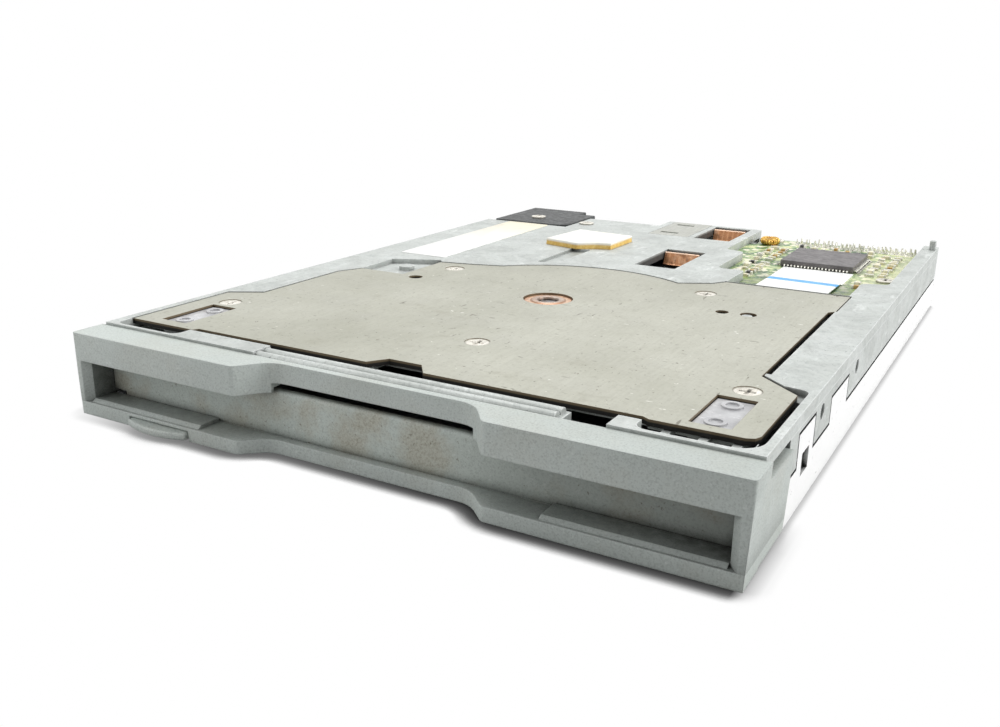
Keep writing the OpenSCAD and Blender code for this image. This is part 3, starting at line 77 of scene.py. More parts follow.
class Finish:
    """A material made of nodes on Object coordinates, built up by its methods."""

    def __init__(self, name, metal=0.0):
        self.material = bpy.data.materials.new(name)
        self.material.use_nodes = True
        self.tree = self.material.node_tree
        self.shader = self.tree.nodes["Principled BSDF"]
        self.shader.inputs["Metallic"].default_value = metal
        self.coords = self.tree.nodes.new("ShaderNodeTexCoord").outputs["Object"]

    def join(self, out, socket):
        """Links an output to an input."""
        self.tree.links.new(out, socket)

    def stretched(self, scale, turn=0.0):
        """Coordinates stretched by scale after a turn about Z, in degrees."""
        node = self.tree.nodes.new("ShaderNodeMapping")
        node.inputs["Scale"].default_value = scale
        node.inputs["Rotation"].default_value = (0, 0, math.radians(turn))
        self.join(self.coords, node.inputs["Vector"])
        return node.outputs["Vector"]

    def noise(self, grain_mm, detail=4.0, rough=0.55, along=None, warp=0.0):
        """Cloudy values from 0 to 1 whose lumps are about grain_mm across."""
        node = self.tree.nodes.new("ShaderNodeTexNoise")
        node.inputs["Scale"].default_value = 1000 / grain_mm
        node.inputs["Detail"].default_value = detail
        node.inputs["Roughness"].default_value = rough
        node.inputs["Distortion"].default_value = warp
        self.join(along or self.coords, node.inputs["Vector"])
        return node.outputs["Fac"]

    def ramp(self, value, stops):
        """Colours, or greys, that follow a value from 0 to 1."""
        node = self.tree.nodes.new("ShaderNodeValToRGB")
        band = node.color_ramp.elements
        for i, (at, colour) in enumerate(stops):
            step = band[i] if i < 2 else band.new(at)
            step.position = at
            step.color = colour if isinstance(colour, tuple) else (colour, colour, colour, 1)
        self.join(value, node.inputs["Fac"])
        return node.outputs["Color"]

    def mix(self, mask, below, above):
        """Two colours laid over each other where the mask is white."""
        node = self.tree.nodes.new("ShaderNodeMix")
        node.data_type = "RGBA"
        for socket, value in ((node.inputs[0], mask), (node.inputs[6], below), (node.inputs[7], above)):
            if isinstance(value, (tuple, float, int)):
                socket.default_value = value
            else:
                self.join(value, socket)
        return node.outputs[2]

    def stain(self, base, value, stops, colour):
        """A colour laid over the base as strongly as the stops say for a value."""
        return self.mix(self.ramp(value, stops), base, colour)

    def cells(self, per_metre, feature="F1"):
        """Distances in a pattern of cells, to the point in each cell or to its edge."""
        node = self.tree.nodes.new("ShaderNodeTexVoronoi")
        node.feature = feature
        node.inputs["Scale"].default_value = per_metre
        self.join(self.coords, node.inputs["Vector"])
        return node.outputs["Distance"]

    def sums(self, how, a, b=0.0):
        """One step of arithmetic on values."""
        node = self.tree.nodes.new("ShaderNodeMath")
        node.operation = how
        for socket, value in zip(node.inputs, (a, b)):
            if isinstance(value, (float, int)):
                socket.default_value = value
            else:
                self.join(value, socket)
        return node.outputs[0]

    def along(self, axis):
        """The place on the part along one axis, in millimetres of the part's frame."""
        node = self.tree.nodes.new("ShaderNodeSeparateXYZ")
        self.join(self.coords, node.inputs[0])
        return self.sums("MULTIPLY", node.outputs[axis], 1000.0)

    def share(self, axis, start, length=1.0):
        """How far a place lies along one axis past the start, as a share of a length."""
        return self.sums("DIVIDE", self.sums("SUBTRACT", self.along(axis), start), length)

    def wave(self, axis, pitch_mm):
        """A sine from -1 to 1 with the given pitch along one axis."""
        return self.sums("SINE", self.sums("MULTIPLY", self.along(axis), 2 * math.pi / pitch_mm))

    def product(self, first, *others):
        """Values multiplied with each other."""
        for other in others:
            first = self.sums("MULTIPLY", first, other)
        return first

    def band(self, value, lo, hi):
        """White where a value lies between lo and hi."""
        return self.product(self.sums("GREATER_THAN", value, lo), self.sums("LESS_THAN", value, hi))

    def rounded_normal(self, radius_mm):
        """The face's normal, turned smoothly over edges within the radius."""
        node = self.tree.nodes.new("ShaderNodeBevel")
        node.samples = 4
        node.inputs["Radius"].default_value = radius_mm * MM
        return node.outputs[0]

    def true_normal(self):
        """The face's own normal."""
        return self.tree.nodes.new("ShaderNodeNewGeometry").outputs["True Normal"]

    def edges(self, radius_mm):
        """White on outer edges, from how far a rounded normal leans off the face's own."""
        dot = self.tree.nodes.new("ShaderNodeVectorMath")
        dot.operation = "DOT_PRODUCT"
        self.join(self.rounded_normal(radius_mm), dot.inputs[0])
        self.join(self.true_normal(), dot.inputs[1])
        return self.ramp(dot.outputs["Value"], [(0.80, 1.0), (0.985, 0.0)])

    def free_space(self, reach_mm, samples=6):
        """How much of the space within reach_mm is free, from none to one."""
        node = self.tree.nodes.new("ShaderNodeAmbientOcclusion")
        node.inputs["Distance"].default_value = reach_mm * MM
        node.samples = samples
        return node.outputs["AO"]

    def cavity(self, reach_mm, shut, open_at):
        """White in corners and narrow gaps, where the free space falls from open_at to shut."""
        return self.ramp(self.free_space(reach_mm), [(shut, 1.0), (open_at, 0.0)])

    def upward(self):
        """The upward part of the face's own normal, one on level faces and none on upright ones."""
        node = self.tree.nodes.new("ShaderNodeSeparateXYZ")
        self.join(self.true_normal(), node.inputs[0])
        return node.outputs[2]

    def relief(self, height, depth_mm, strength, round_mm=0.0):
        """A bump of the given depth, on normals that turn smoothly over edges where round_mm is given."""
        node = self.tree.nodes.new("ShaderNodeBump")
        node.inputs["Strength"].default_value = strength
        node.inputs["Distance"].default_value = depth_mm * MM
        self.join(height, node.inputs["Height"])
        if round_mm:
            self.join(self.rounded_normal(round_mm), node.inputs["Normal"])
        self.join(node.outputs["Normal"], self.shader.inputs["Normal"])

    def paint(self, colour, rough):
        """The finished colour and roughness go to the shader."""
        self.join(colour, self.shader.inputs["Base Color"])
        self.join(rough, self.shader.inputs["Roughness"])
        return self.material


def moulded_plastic(name, light, dark, dirt_and_shade, round_mm=0.28, corners=(8.0, 0.25, 0.85)):
    """Fine-grained grey plastic, paler on its edges as wear and a painted highlight, with brown specks where it is
    soiled; painted shade darkens its right end and the corners in the slot.
    """
    f = Finish(name)
    base = f.ramp(f.noise(14, 5), [(0.3, dark), (0.7, light)])
    base = f.stain(base, f.noise(0.26, 3, 0.7), [(0.34, 0.34), (0.52, 0.0)], tint(118, 124, 120))
    base = f.stain(base, f.noise(0.4, 2), [(0.62, 0.0), (0.72, 0.3)], tint(236, 240, 236))
    # Paler edges: wear with a painted highlight.
    base = f.stain(base, f.edges(0.35), [(0.0, 0.0), (1.0, 0.35)], tint(238, 243, 240))
    scuffs = f.noise(1.1, 3, along=f.stretched((1, 1, 5)))
    base = f.stain(base, scuffs, [(0.70, 0.0), (0.76, 0.28)], tint(236, 238, 232))
    patches = f.ramp(f.noise(9, 4, 0.6), [(0.46, 0.0), (0.62, 1.0)])
    specks = f.ramp(f.noise(0.24, 4, 0.7), [(0.48, 0.0), (0.64, 1.0)])
    base = f.mix(f.product(patches, 0.34 * dirt_and_shade), base, tint(176, 160, 130))
    base = f.mix(f.product(patches, specks, 0.45 * dirt_and_shade), base, tint(120, 104, 78))
    base = f.stain(base, f.noise(0.55, 2), [(0.68, 0.0), (0.73, 0.6 * dirt_and_shade)], tint(110, 102, 86))
    # Painted shade: darker towards the right end, as strong as the soiling.
    base = f.stain(base, f.share(0, 0.0, 48.0), [(0.2, 0.0), (0.95, 0.58 * dirt_and_shade)], tint(84, 84, 78))
    # Painted shade: corners within the slot's height turn near black, strongest at its ends; corners sets the reach.
    slot_shade = f.product(f.cavity(*corners), f.ramp(f.noise(1.2, 4), [(0.25, 0.8), (0.6, 1.0)]))
    ends = f.ramp(f.share(0, -50.0, 100.0), [(0.03, 1.0), (1.0, 1.0), (0.06, 0.82), (0.6, 0.72), (0.92, 1.0)])
    in_slot = f.band(f.along(2), 1.9, 8.4)
    base = f.mix(f.product(slot_shade, ends, in_slot), base, tint(40, 41, 36))
    f.relief(f.noise(0.22, 2), 0.02, 0.35, round_mm)
    return f.paint(base, f.ramp(f.noise(3, 3), [(0.3, 0.45), (0.7, 0.6)]))


def cast_metal():
    """Mottled die casting: cloudy greys, chalky worn smears, dark pits, a painted highlight on its edges, and painted
    shade in corners, gaps and on the walls in the windows.
    """
    f = Finish("cast_frame_mottled", metal=0.25)
    clouds = f.noise(7, 6, 0.68, warp=0.8)
    base = f.ramp(clouds, [(0.30, tint(174, 178, 174)), (0.48, tint(191, 195, 191)), (0.68, tint(204, 208, 205))])
    fine = f.noise(0.55, 5, 0.75)
    base = f.stain(base, fine, [(0.36, 0.42), (0.5, 0.0)], tint(140, 146, 145))
    chalk = f.noise(2.4, 5, 0.72, along=f.stretched((1, 0.35, 1), 12))
    base = f.stain(base, chalk, [(0.58, 0.0), (0.68, 0.5)], tint(234, 237, 235))
    smears = f.noise(3.5, 4, 0.7, along=f.stretched((0.4, 1, 1), 33))
    base = f.stain(base, smears, [(0.60, 0.0), (0.72, 0.35)], tint(146, 152, 150))
    base = f.stain(base, f.noise(0.45, 2), [(0.70, 0.0), (0.74, 0.7)], tint(86, 90, 90))
    # Painted highlight along the edges.
    base = f.stain(base, f.edges(0.3), [(0.0, 0.0), (1.0, 0.7)], tint(240, 243, 241))
    # Painted shade in corners and narrow gaps.
    base = f.mix(f.product(f.cavity(2.0, 0.25, 0.7), 0.85), base, tint(36, 37, 36))
    # Painted shade: the walls inside the deck's windows are dark below the deck's top.
    depth = f.ramp(f.share(2, TOP - 1.0), [(0.40, 0.85), (0.92, 0.0)])
    edge = 0.3
    across = f.band(f.along(0), WINDOW_X[0] - edge, WINDOW_X[1] + edge)
    length = f.band(f.along(1), FACE_MM + WINDOWS_Y[0] - edge, FACE_MM + WINDOWS_Y[1] + edge)
    base = f.mix(f.product(depth, across, length), base, tint(30, 28, 26))
    f.relief(fine, 0.05, 0.5, 0.16)
    return f.paint(base, f.ramp(f.noise(4, 4), [(0.35, 0.40), (0.65, 0.62)]))


def olive_sheet():
    """Dull khaki steel sheet with fine rolling grain, dark specks and scratches; its cut sides are brown above and
    black below, where no light comes in."""
    f = Finish("motor_plate_khaki", metal=0.3)
    base = f.ramp(f.noise(26, 5, 0.6), [(0.3, tint(166, 166, 152)), (0.7, tint(190, 190, 178))])
    grain = f.noise(0.4, 4, along=f.stretched((1, 0.08, 1), 4))
    base = f.stain(base, grain, [(0.35, 0.16), (0.65, 0.0)], tint(140, 138, 124))
    base = f.stain(base, f.noise(0.5, 4, 0.7), [(0.36, 0.2), (0.5, 0.0)], tint(130, 126, 110))
    smoke = f.noise(5, 5, 0.7, along=f.stretched((0.5, 1, 1), -20))
    base = f.stain(base, smoke, [(0.60, 0.0), (0.76, 0.5)], tint(142, 138, 122))
    base = f.stain(base, f.noise(0.55, 2), [(0.69, 0.0), (0.73, 0.75)], tint(92, 84, 70))
    for grain_mm, scale, turn, at in ((0.9, (1, 0.25, 1), 57, 0.715), (0.7, (0.3, 1, 1), -30, 0.715)):
        marks = f.noise(grain_mm, 2, along=f.stretched(scale, turn))
        base = f.stain(base, marks, [(at, 0.0), (at + 0.03, 0.7)], tint(96, 90, 78))
    pale = f.noise(0.7, 2, along=f.stretched((0.5, 1, 1), -24))
    base = f.stain(base, pale, [(0.735, 0.0), (0.765, 0.8)], tint(236, 235, 228))
    base = f.stain(base, f.edges(0.10), [(0.0, 0.0), (1.0, 0.8)], tint(104, 88, 66))
    # Painted shade: the cut sides turn black below and stay brown only near their top.
    height = f.share(2, PLATE_TOP - 0.8)
    side = f.ramp(height, [(0.42, tint(24, 22, 19)), (0.56, tint(112, 98, 76))])
    base = f.stain(base, f.upward(), [(0.3, 1.0), (0.6, 0.0)], side)
    f.relief(grain, 0.012, 0.35, 0.06)
    return f.paint(base, f.ramp(f.noise(6, 4), [(0.3, 0.42), (0.7, 0.58)]))


def sheet_metal(name, light, dark, metal=0.8, grain=(1, 0.06, 1), rough=(0.28, 0.46), gap_shading=(1.2, 0.2, 0.55, 0)):
    """Bright metal with a drawn grain, a few dull stains and painted shade in its gaps, which starts above a given
    height.
    """
    f = Finish(name, metal=metal)
    lines = f.noise(0.4, 4, along=f.stretched(grain))
    base = f.ramp(lines, [(0.3, dark), (0.7, light)])
    base = f.stain(base, f.noise(5, 4), [(0.58, 0.0), (0.72, 0.3)], dark)
    base = f.stain(base, f.noise(0.7, 2), [(0.70, 0.0), (0.75, 0.5)], tint(80, 78, 74))
    # Painted shade in narrow gaps, above a given height.
    gap_shade = f.product(f.cavity(*gap_shading[:3]), f.sums("GREATER_THAN", f.along(2), gap_shading[3]))
    base = f.mix(gap_shade, base, tint(22, 22, 21))
    f.relief(lines, 0.01, 0.4)
    return f.paint(base, f.ramp(f.noise(2, 3), [(0.3, rough[0]), (0.7, rough[1])]))


def dull_black(name, light=(52, 56, 56), dark=(26, 29, 29)):
    """Black plastic with dust, a fine grain and a painted highlight on its edges."""
    f = Finish(name)
    base = f.ramp(f.noise(3, 5), [(0.35, tint(*dark)), (0.65, tint(*light))])
    base = f.stain(base, f.noise(0.4, 3), [(0.62, 0.0), (0.72, 0.4)], tint(150, 150, 146))
    # Painted highlight along the edges.
    base = f.stain(base, f.edges(0.25), [(0.0, 0.0), (1.0, 0.35)], tint(130, 134, 134))
    f.relief(f.noise(0.3, 2), 0.03, 0.4)
    return f.paint(base, f.ramp(f.noise(1, 3), [(0.3, 0.35), (0.7, 0.6)]))


def cloudy(name, light, dark, lumps_mm, metal=0.0, rough=(0.4, 0.6), bump_mm=0.02):
    """A two-tone finish for small pieces: clouds, a finer grain, painted shade in corners and gaps, and a slight
    relief.
    """
    f = Finish(name, metal=metal)
    base = f.ramp(f.noise(lumps_mm, 5), [(0.3, dark), (0.7, light)])
    base = f.stain(base, f.noise(lumps_mm / 6, 3), [(0.35, 0.25), (0.55, 0.0)], dark)
    # Painted shade in corners and narrow gaps.
    base = f.mix(f.cavity(1.2, 0.15, 0.5), base, tint(20, 19, 18))
    f.relief(f.noise(lumps_mm / 4, 3), bump_mm, 0.5)
    return f.paint(base, f.ramp(f.noise(lumps_mm / 2, 3), [(0.3, rough[0]), (0.7, rough[1])]))


def wound_wire(name, light, dark, pitch_mm):
    """Lacquered wire laid side by side: fine bands across Y."""
    f = Finish(name, metal=0.7)
    turns = f.sums("ADD", f.product(f.wave(1, pitch_mm), 0.5), 0.5)
    base = f.mix(f.ramp(turns, [(0.0, 0.0), (0.5, 1.0)]), dark, light)
    base = f.stain(base, f.noise(1.5, 3), [(0.4, 0.0), (0.7, 0.4)], dark)
    f.relief(turns, 0.04, 0.5)
    return f.paint(base, f.ramp(f.noise(1, 2), [(0.3, 0.25), (0.7, 0.45)]))


def green_laminate():
    """Solder-masked board: green clouds, pale tracks between cells and bright solder dots, deeper green at the front
    and paler at the right rear."""
    f = Finish("board_green_mask")
    base = f.ramp(f.noise(2.4, 4), [(0.40, tint(12, 66, 38)), (0.50, tint(86, 138, 72)), (0.60, tint(222, 226, 164))])
    tracks = f.cells(620, "DISTANCE_TO_EDGE")
    base = f.stain(base, tracks, [(0.06, 0.5), (0.11, 0.0)], tint(206, 220, 166))
    base = f.stain(base, f.cells(480), [(0.33, 1.0), (0.40, 0.0)], tint(252, 247, 220))
    front = f.ramp(f.share(1, FACE_MM + 84.0, 22.0), [(0.2, 0.85), (0.75, 0.0)])
    base = f.mix(front, base, f.ramp(f.noise(2.5, 3), [(0.42, tint(12, 62, 38)), (0.62, tint(128, 150, 66))]))
    right = f.ramp(f.share(0, 35.0, 6.0), [(0.0, 0.0), (1.0, 0.5)])
    base = f.mix(f.product(right, f.sums("SUBTRACT", 1.0, front)), base, tint(232, 234, 182))
    f.relief(tracks, 0.03, 0.4)
    return f.paint(base, f.ramp(f.noise(1, 2), [(0.3, 0.24), (0.7, 0.42)]))


def turned_bronze():
    """Pale turned bronze: a brown rim, a tan flange and a grey ring round the bore, by the distance to the axis;
    painted shade in its corners and the bore.
    """
    f = Finish("bearing_bronze", metal=0.55)
    dx, dy = f.share(0, SPINDLE[0]), f.share(1, SPINDLE[1] + FACE_MM)
    out = f.sums("SQRT", f.sums("ADD", f.product(dx, dx), f.product(dy, dy)))
    base = f.ramp(f.sums("DIVIDE", out, 6.4), [(0.24, tint(60, 50, 44)), (0.30, tint(186, 168, 154)),
                                               (0.40, tint(196, 172, 152)), (0.43, tint(160, 116, 88)),
                                               (0.47, tint(232, 198, 168)), (0.57, tint(222, 176, 142)),
                                               (0.615, tint(126, 82, 58))])
    base = f.stain(base, f.noise(0.9, 4), [(0.35, 0.4), (0.55, 0.0)], tint(148, 104, 78))
    # Painted shade in corners and in the bore.
    base = f.mix(f.cavity(1.2, 0.2, 0.6), base, tint(34, 26, 22))
    f.relief(f.sums("SINE", f.product(out, 14.0)), 0.01, 0.4)
    return f.paint(base, f.ramp(f.noise(1, 3), [(0.3, 0.25), (0.7, 0.42)]))


def white_ribbon():
    """White film, its blue end stripe slightly out of square."""
    f = Finish("ribbon_white_blue")
    base = f.ramp(f.noise(4, 3), [(0.3, tint(252, 252, 250)), (0.7, tint(255, 255, 253))])
    tracks = f.wave(0, 0.8)
    base = f.stain(base, tracks, [(0.5, 0.0), (0.95, 0.12)], tint(214, 220, 224))
    skewed = f.sums("ADD", f.along(1), f.product(f.along(0), 0.05))
    stripe = f.band(skewed, FACE_MM + 91.8, FACE_MM + 94.1)
    base = f.mix(stripe, base, f.ramp(f.noise(1.5, 2), [(0.3, tint(70, 164, 230)), (0.7, tint(108, 190, 242))]))
    f.relief(tracks, 0.01, 0.3)
    return f.paint(base, f.ramp(f.noise(2, 2), [(0.3, 0.3), (0.7, 0.5)]))


def copper_film():
    """Brown polyimide strip with copper tracks along its length, dark blotches, painted shade in corners and gaps,
    and a painted highlight on its crest.
    """
    f = Finish("flex_copper_tracks", metal=0.35)
    wave = f.wave(0, 1.1)
    base = f.mix(f.ramp(wave, [(0.2, 0.0), (0.8, 1.0)]), tint(188, 130, 86), tint(206, 150, 106))
    base = f.stain(base, f.noise(1.6, 4), [(0.34, 0.6), (0.46, 0.0)], tint(104, 66, 42))
    base = f.stain(base, f.noise(2.5, 3), [(0.55, 0.0), (0.7, 0.4)], tint(232, 198, 168))
    # Painted shade in corners and gaps.
    base = f.mix(f.cavity(3.0, 0.3, 0.7), base, tint(52, 30, 18))
    # Painted highlight: paler towards the top of the crest.
    base = f.stain(base, f.share(2, TOP - 1.2), [(0.70, 0.0), (0.86, 0.7)], tint(240, 212, 188))
    f.relief(wave, 0.01, 0.3)
    return f.paint(base, f.ramp(f.noise(1, 2), [(0.3, 0.22), (0.7, 0.4)]))


def paper_film():
    """Blank white film, yellowed towards its rear end and a little soiled."""
    f = Finish("label_blank_film")
    base = f.ramp(f.noise(6, 4), [(0.3, tint(240, 241, 238)), (0.7, tint(254, 254, 251))])
    base = f.stain(base, f.share(1, 22.0, 26.0), [(0.0, 0.0), (1.0, 0.6)], tint(236, 222, 176))
    base = f.stain(base, f.noise(0.8, 3), [(0.66, 0.0), (0.75, 0.3)], tint(176, 174, 166))
    f.relief(f.noise(0.5, 2), 0.01, 0.4)
    return f.paint(base, f.ramp(f.noise(2, 2), [(0.3, 0.4), (0.7, 0.6)]))


def foam_block():
    """Foam with a white skin on top and yellowed open sides."""
    f = Finish("pad_foam_cream")
    height = f.ramp(f.share(2, TOP + 0.2), [(0.45, 0.0), (0.85, 1.0)])
    side = f.ramp(f.noise(0.6, 4), [(0.3, tint(222, 176, 84)), (0.7, tint(246, 214, 134))])
    skin_top = f.ramp(f.noise(3, 4), [(0.3, tint(250, 247, 234)), (0.7, tint(255, 254, 250))])
    f.relief(f.noise(0.4, 4), 0.06, 0.6)
    return f.paint(f.mix(height, side, skin_top), f.ramp(f.noise(0.6, 2), [(0.3, 0.7), (0.7, 0.95)]))


BRIGHT_STEEL = tint(226, 228, 230)
FINISH = {
    "cast_frame": cast_metal(),
    "cover_steel": sheet_metal("cover_bright_zinc", tint(255, 255, 254), tint(250, 250, 249), 0.0, (0.06, 1, 1),
                               gap_shading=(1.5, 0.5, 0.85, 3.0)),
    "screw_steel": sheet_metal("screw_plated", tint(246, 243, 233), tint(206, 200, 188), 0.5, gap_shading=(0.5, 0.4, 0.9, 0)),
    "bezel_plastic": moulded_plastic("bezel_grey_plastic", tint(206, 213, 208), tint(194, 201, 196), 0.2),
    "spring_steel": sheet_metal("spring_wire", BRIGHT_STEEL, tint(150, 153, 156)),
    "slide_steel": sheet_metal("slide_zinc_sheet", tint(132, 134, 133), tint(92, 95, 96)),
    "pin_steel": sheet_metal("pin_polished", BRIGHT_STEEL, tint(176, 178, 182), 0.9, (1, 0.1, 1), (0.16, 0.3)),
    "plate_steel": olive_sheet(),
    "bronze": turned_bronze(),
    "core_steel": cloudy("core_lamination", tint(84, 84, 86), tint(46, 46, 48), 2.0, 0.5),
    "winding": wound_wire("winding_copper", tint(196, 112, 66), tint(110, 52, 28), 0.28),
    "black_plastic": dull_black("black_moulding"),
    "head_ceramic": cloudy("switch_pale_moulding", tint(220, 220, 221), tint(180, 180, 182), 3.0, 0.0, (0.14, 0.3)),
    "board_laminate": green_laminate(),
    "chip_resin": dull_black("chip_resin_grey", (116, 112, 112), (88, 84, 85)),
    "solder": cloudy("solder_bright", tint(252, 250, 240), tint(206, 204, 192), 0.8, 0.3, (0.2, 0.35)),
    "coil_gold": wound_wire("coil_gold_wire", tint(232, 192, 104), tint(150, 104, 34), 0.3),
    "white_film": white_ribbon(),
    "flex_film": copper_film(),
    "pad_foam": foam_block(),
}
DOOR_PLASTIC = moulded_plastic("door_soiled_shaded_plastic", tint(207, 215, 208), tint(190, 198, 191), 1.0, 0.08,
                               (2.0, 0.4, 0.85))
LABEL_FILM = paper_film()
PART_CREAM = cloudy("part_cream_ceramic", tint(255, 252, 232), tint(232, 220, 184), 2.2)
PART_TAN = cloudy("part_gold_ceramic", tint(220, 186, 116), tint(160, 120, 62), 2.2)
PART_DARK = dull_black("part_dark_body", (74, 72, 74), (38, 37, 40))
OLIVE_PATCH = sheet_metal("patch_dull_sheet", tint(196, 197, 188), tint(164, 165, 156), 0.4)


# Shapes

MERGE_M, SLIVER_M = 2e-6, 1e-7
FLAT_DEG, SHARP_DEG, CURVE_DEG = 0.6, 35, 28


def quads(nu, nv, wrap_u=False, wrap_v=False):
    """Corner numbers of the four-sided faces of an nu by nv grid, closed round in u or v if asked."""
    i, j = np.meshgrid(np.arange(nu if wrap_u else nu - 1), np.arange(nv if wrap_v else nv - 1), indexing="ij")
    i2, j2 = (i + 1) % nu, (j + 1) % nv
    return np.stack([i * nv + j, i2 * nv + j, i2 * nv + j2, i * nv + j2], -1).reshape(-1, 4)


def piece(name, sheets, node, finish=None, slot=None, smooth=30):
    """One object from grids of points, each a pair of (points, wrap) with the points in drive millimetres.
    A grid may have a leading axis of copies. Doubled points are merged and the faces turned outwards."""
    points, faces, start = [], [], 0
    for grid, wrap in sheets:
        grid = grid.reshape((-1,) + grid.shape[-3:])
        copies, nu, nv, _ = grid.shape
        corners = quads(nu, nv, *wrap)[None] + (np.arange(copies) * nu * nv)[:, None, None]
        points.append(grid.reshape(-1, 3))
        faces.append(corners.reshape(-1, 4) + start)
        start += copies * nu * nv
    mesh = bpy.data.meshes.new(name)
    mesh.from_pydata(row_frame(np.concatenate(points)).tolist(), [], np.concatenate(faces).tolist())
    merged = bmesh.new()
    merged.from_mesh(mesh)
    bmesh.ops.remove_doubles(merged, verts=merged.verts, dist=MERGE_M)
    bmesh.ops.dissolve_degenerate(merged, edges=merged.edges, dist=SLIVER_M)
    bmesh.ops.recalc_face_normals(merged, faces=merged.faces)
    merged.to_mesh(mesh)
    merged.free()
    mesh.polygons.foreach_set("use_smooth", np.ones(len(mesh.polygons), bool))
    mesh.set_sharp_from_angle(angle=math.radians(smooth))
    return dressed(name, mesh, node, finish, slot)


def dressed(name, mesh, node, finish=None, slot=None):
    """An object at the origin that rides the node's body and stands for the node, with its finish and slot."""
    thing = bpy.data.objects.new(name, mesh)
    bpy.context.scene.collection.objects.link(thing)
    slot = slot or SLOT_OF[node]
    mesh.materials.clear()
    mesh.materials.append(finish or FINISH[slot])
    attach(thing, BODY_OF[node])
    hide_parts(node)
    return thing


def merged_mesh(node, flat_deg=0.0):
    """A copy of a CAD solid's mesh without its stored normals, its doubles merged and, where flat_deg is given,
    its faces joined where they lean less than that."""
    mesh = frame["nodes"][node].data.copy()
    for layer in [a.name for a in mesh.attributes if a.name in ("custom_normal", "sharp_face", "sharp_edge")]:
        mesh.attributes.remove(mesh.attributes[layer])
    merged = bmesh.new()
    merged.from_mesh(mesh)
    bmesh.ops.remove_doubles(merged, verts=merged.verts, dist=MERGE_M)
    if flat_deg:
        bmesh.ops.dissolve_limit(merged, angle_limit=math.radians(flat_deg), verts=merged.verts, edges=merged.edges)
    merged.to_mesh(mesh)
    merged.free()
    mesh.polygons.foreach_set("use_smooth", np.ones(len(mesh.polygons), bool))
    return mesh


def softened(node, width_mm):
    """A copy of a CAD solid, its doubles merged and flat faces joined, with every sharp edge rounded to width_mm."""
    thing = dressed(node + "_rounded", merged_mesh(node, FLAT_DEG), node)
    rounding = thing.modifiers.new("edge_rounding", "BEVEL")
    rounding.width = width_mm * MM
    rounding.segments = 2
    rounding.limit_method = "ANGLE"
    rounding.angle_limit = math.radians(SHARP_DEG)
    rounding.use_clamp_overlap = False
    rounding.harden_normals = True


def merged_copy(node, finish=None):
    """A copy of a CAD solid with its doubles merged, smooth over its curves and sharp at its edges, which its
    finish rounds."""
    mesh = merged_mesh(node)
    mesh.set_sharp_from_angle(angle=math.radians(CURVE_DEG))
    dressed(node + "_finished", mesh, node, finish)


def turned(profile, centre, n):
    """A profile of (radius, height) pairs turned round an upright axis through the centre."""
    r, h = np.asarray(profile, float).T
    a = np.linspace(0, 2 * np.pi, n, endpoint=False)
    ring = np.stack([np.outer(r, np.cos(a)), np.outer(r, np.sin(a)), np.repeat(h[:, None], n, 1)], -1)
    return ring + np.asarray(centre, float), (False, True)


def swept(path, section):
    """A closed section carried along a path: at each point it lies across the path's direction. Its ends are
    drawn together to a point, so the tube is closed."""
    path = np.asarray(path, float)
    way = np.gradient(path, axis=0)
    way /= np.linalg.norm(way, axis=1, keepdims=True)
    up = np.where(np.abs(way[:, 2:]) > 0.9, [[1.0, 0, 0]], [[0, 0, 1.0]])
    side = np.cross(way, up)
    side /= np.linalg.norm(side, axis=1, keepdims=True)
    lift = np.cross(side, way)
    s = np.asarray(section, float)
    tube = path[:, None] + side[:, None] * s[None, :, :1] + lift[:, None] * s[None, :, 1:]
    ends = [np.repeat(p[None, None], len(s), 1) for p in (path[0], path[-1])]
    return np.concatenate([ends[0], tube, ends[1]]), (False, True)


def helix(centre, axis, length, radius, turns, wire, per_turn=18, around=8):
    """Wire of the given radius wound at an even pitch round an axis from the centre: the angle and the way along the
    axis both grow with t from 0 to 1."""
    t = np.linspace(0, 1, int(turns * per_turn))
    a = 2 * np.pi * turns * t
    ring = np.stack([radius * np.cos(a), radius * np.sin(a), length * t], -1)
    order = {"z": [0, 1, 2], "y": [0, 2, 1], "x": [2, 0, 1]}[axis]
    b = np.linspace(0, 2 * np.pi, around, endpoint=False)
    return swept(ring[:, order] + np.asarray(centre, float), np.stack([wire * np.cos(b), wire * np.sin(b)], -1))


def corner_ring(half, radius, per_corner):
    """Outline of a rectangle of half sides (a, b) with round corners, its middle at zero."""
    a = np.concatenate([np.linspace(q, q + np.pi / 2, per_corner) for q in np.arange(4) * np.pi / 2])
    quarter = np.repeat(np.array([[1, 1], [-1, 1], [-1, -1], [1, -1]]), per_corner, 0)
    return quarter * (np.asarray(half) - radius) + radius * np.stack([np.cos(a), np.sin(a)], -1)


def stacked(outline, levels):
    """Rings of one outline at (inset, height) levels, drawn together to a point below and above. The inset moves
    each outline point along the inward normal of its neighbours."""
    o = np.asarray(outline, float)
    way = np.roll(o, -1, 0) - np.roll(o, 1, 0)
    way /= np.linalg.norm(way, axis=1, keepdims=True)
    inward = np.stack([-way[:, 1], way[:, 0]], -1)
    rings = [np.concatenate([o + inward * d, np.full((len(o), 1), z)], 1) for d, z in levels]
    mid = o.mean(0)
    caps = [np.repeat(np.array([[mid[0], mid[1], z]]), len(o), 0) for z in (levels[0][1], levels[-1][1])]
    return np.stack([caps[0]] + rings + [caps[1]]), (False, True)


def unit_block(r=0.1):
    """A box one unit long, wide and high on the middle of its base, with rounded upright and top edges."""
    levels = [(0, 0), (0, 1 - r), (0.3 * r, 1 - 0.3 * r), (r, 1)]
    return stacked(corner_ring((0.5, 0.5), r, 3), levels)[0]


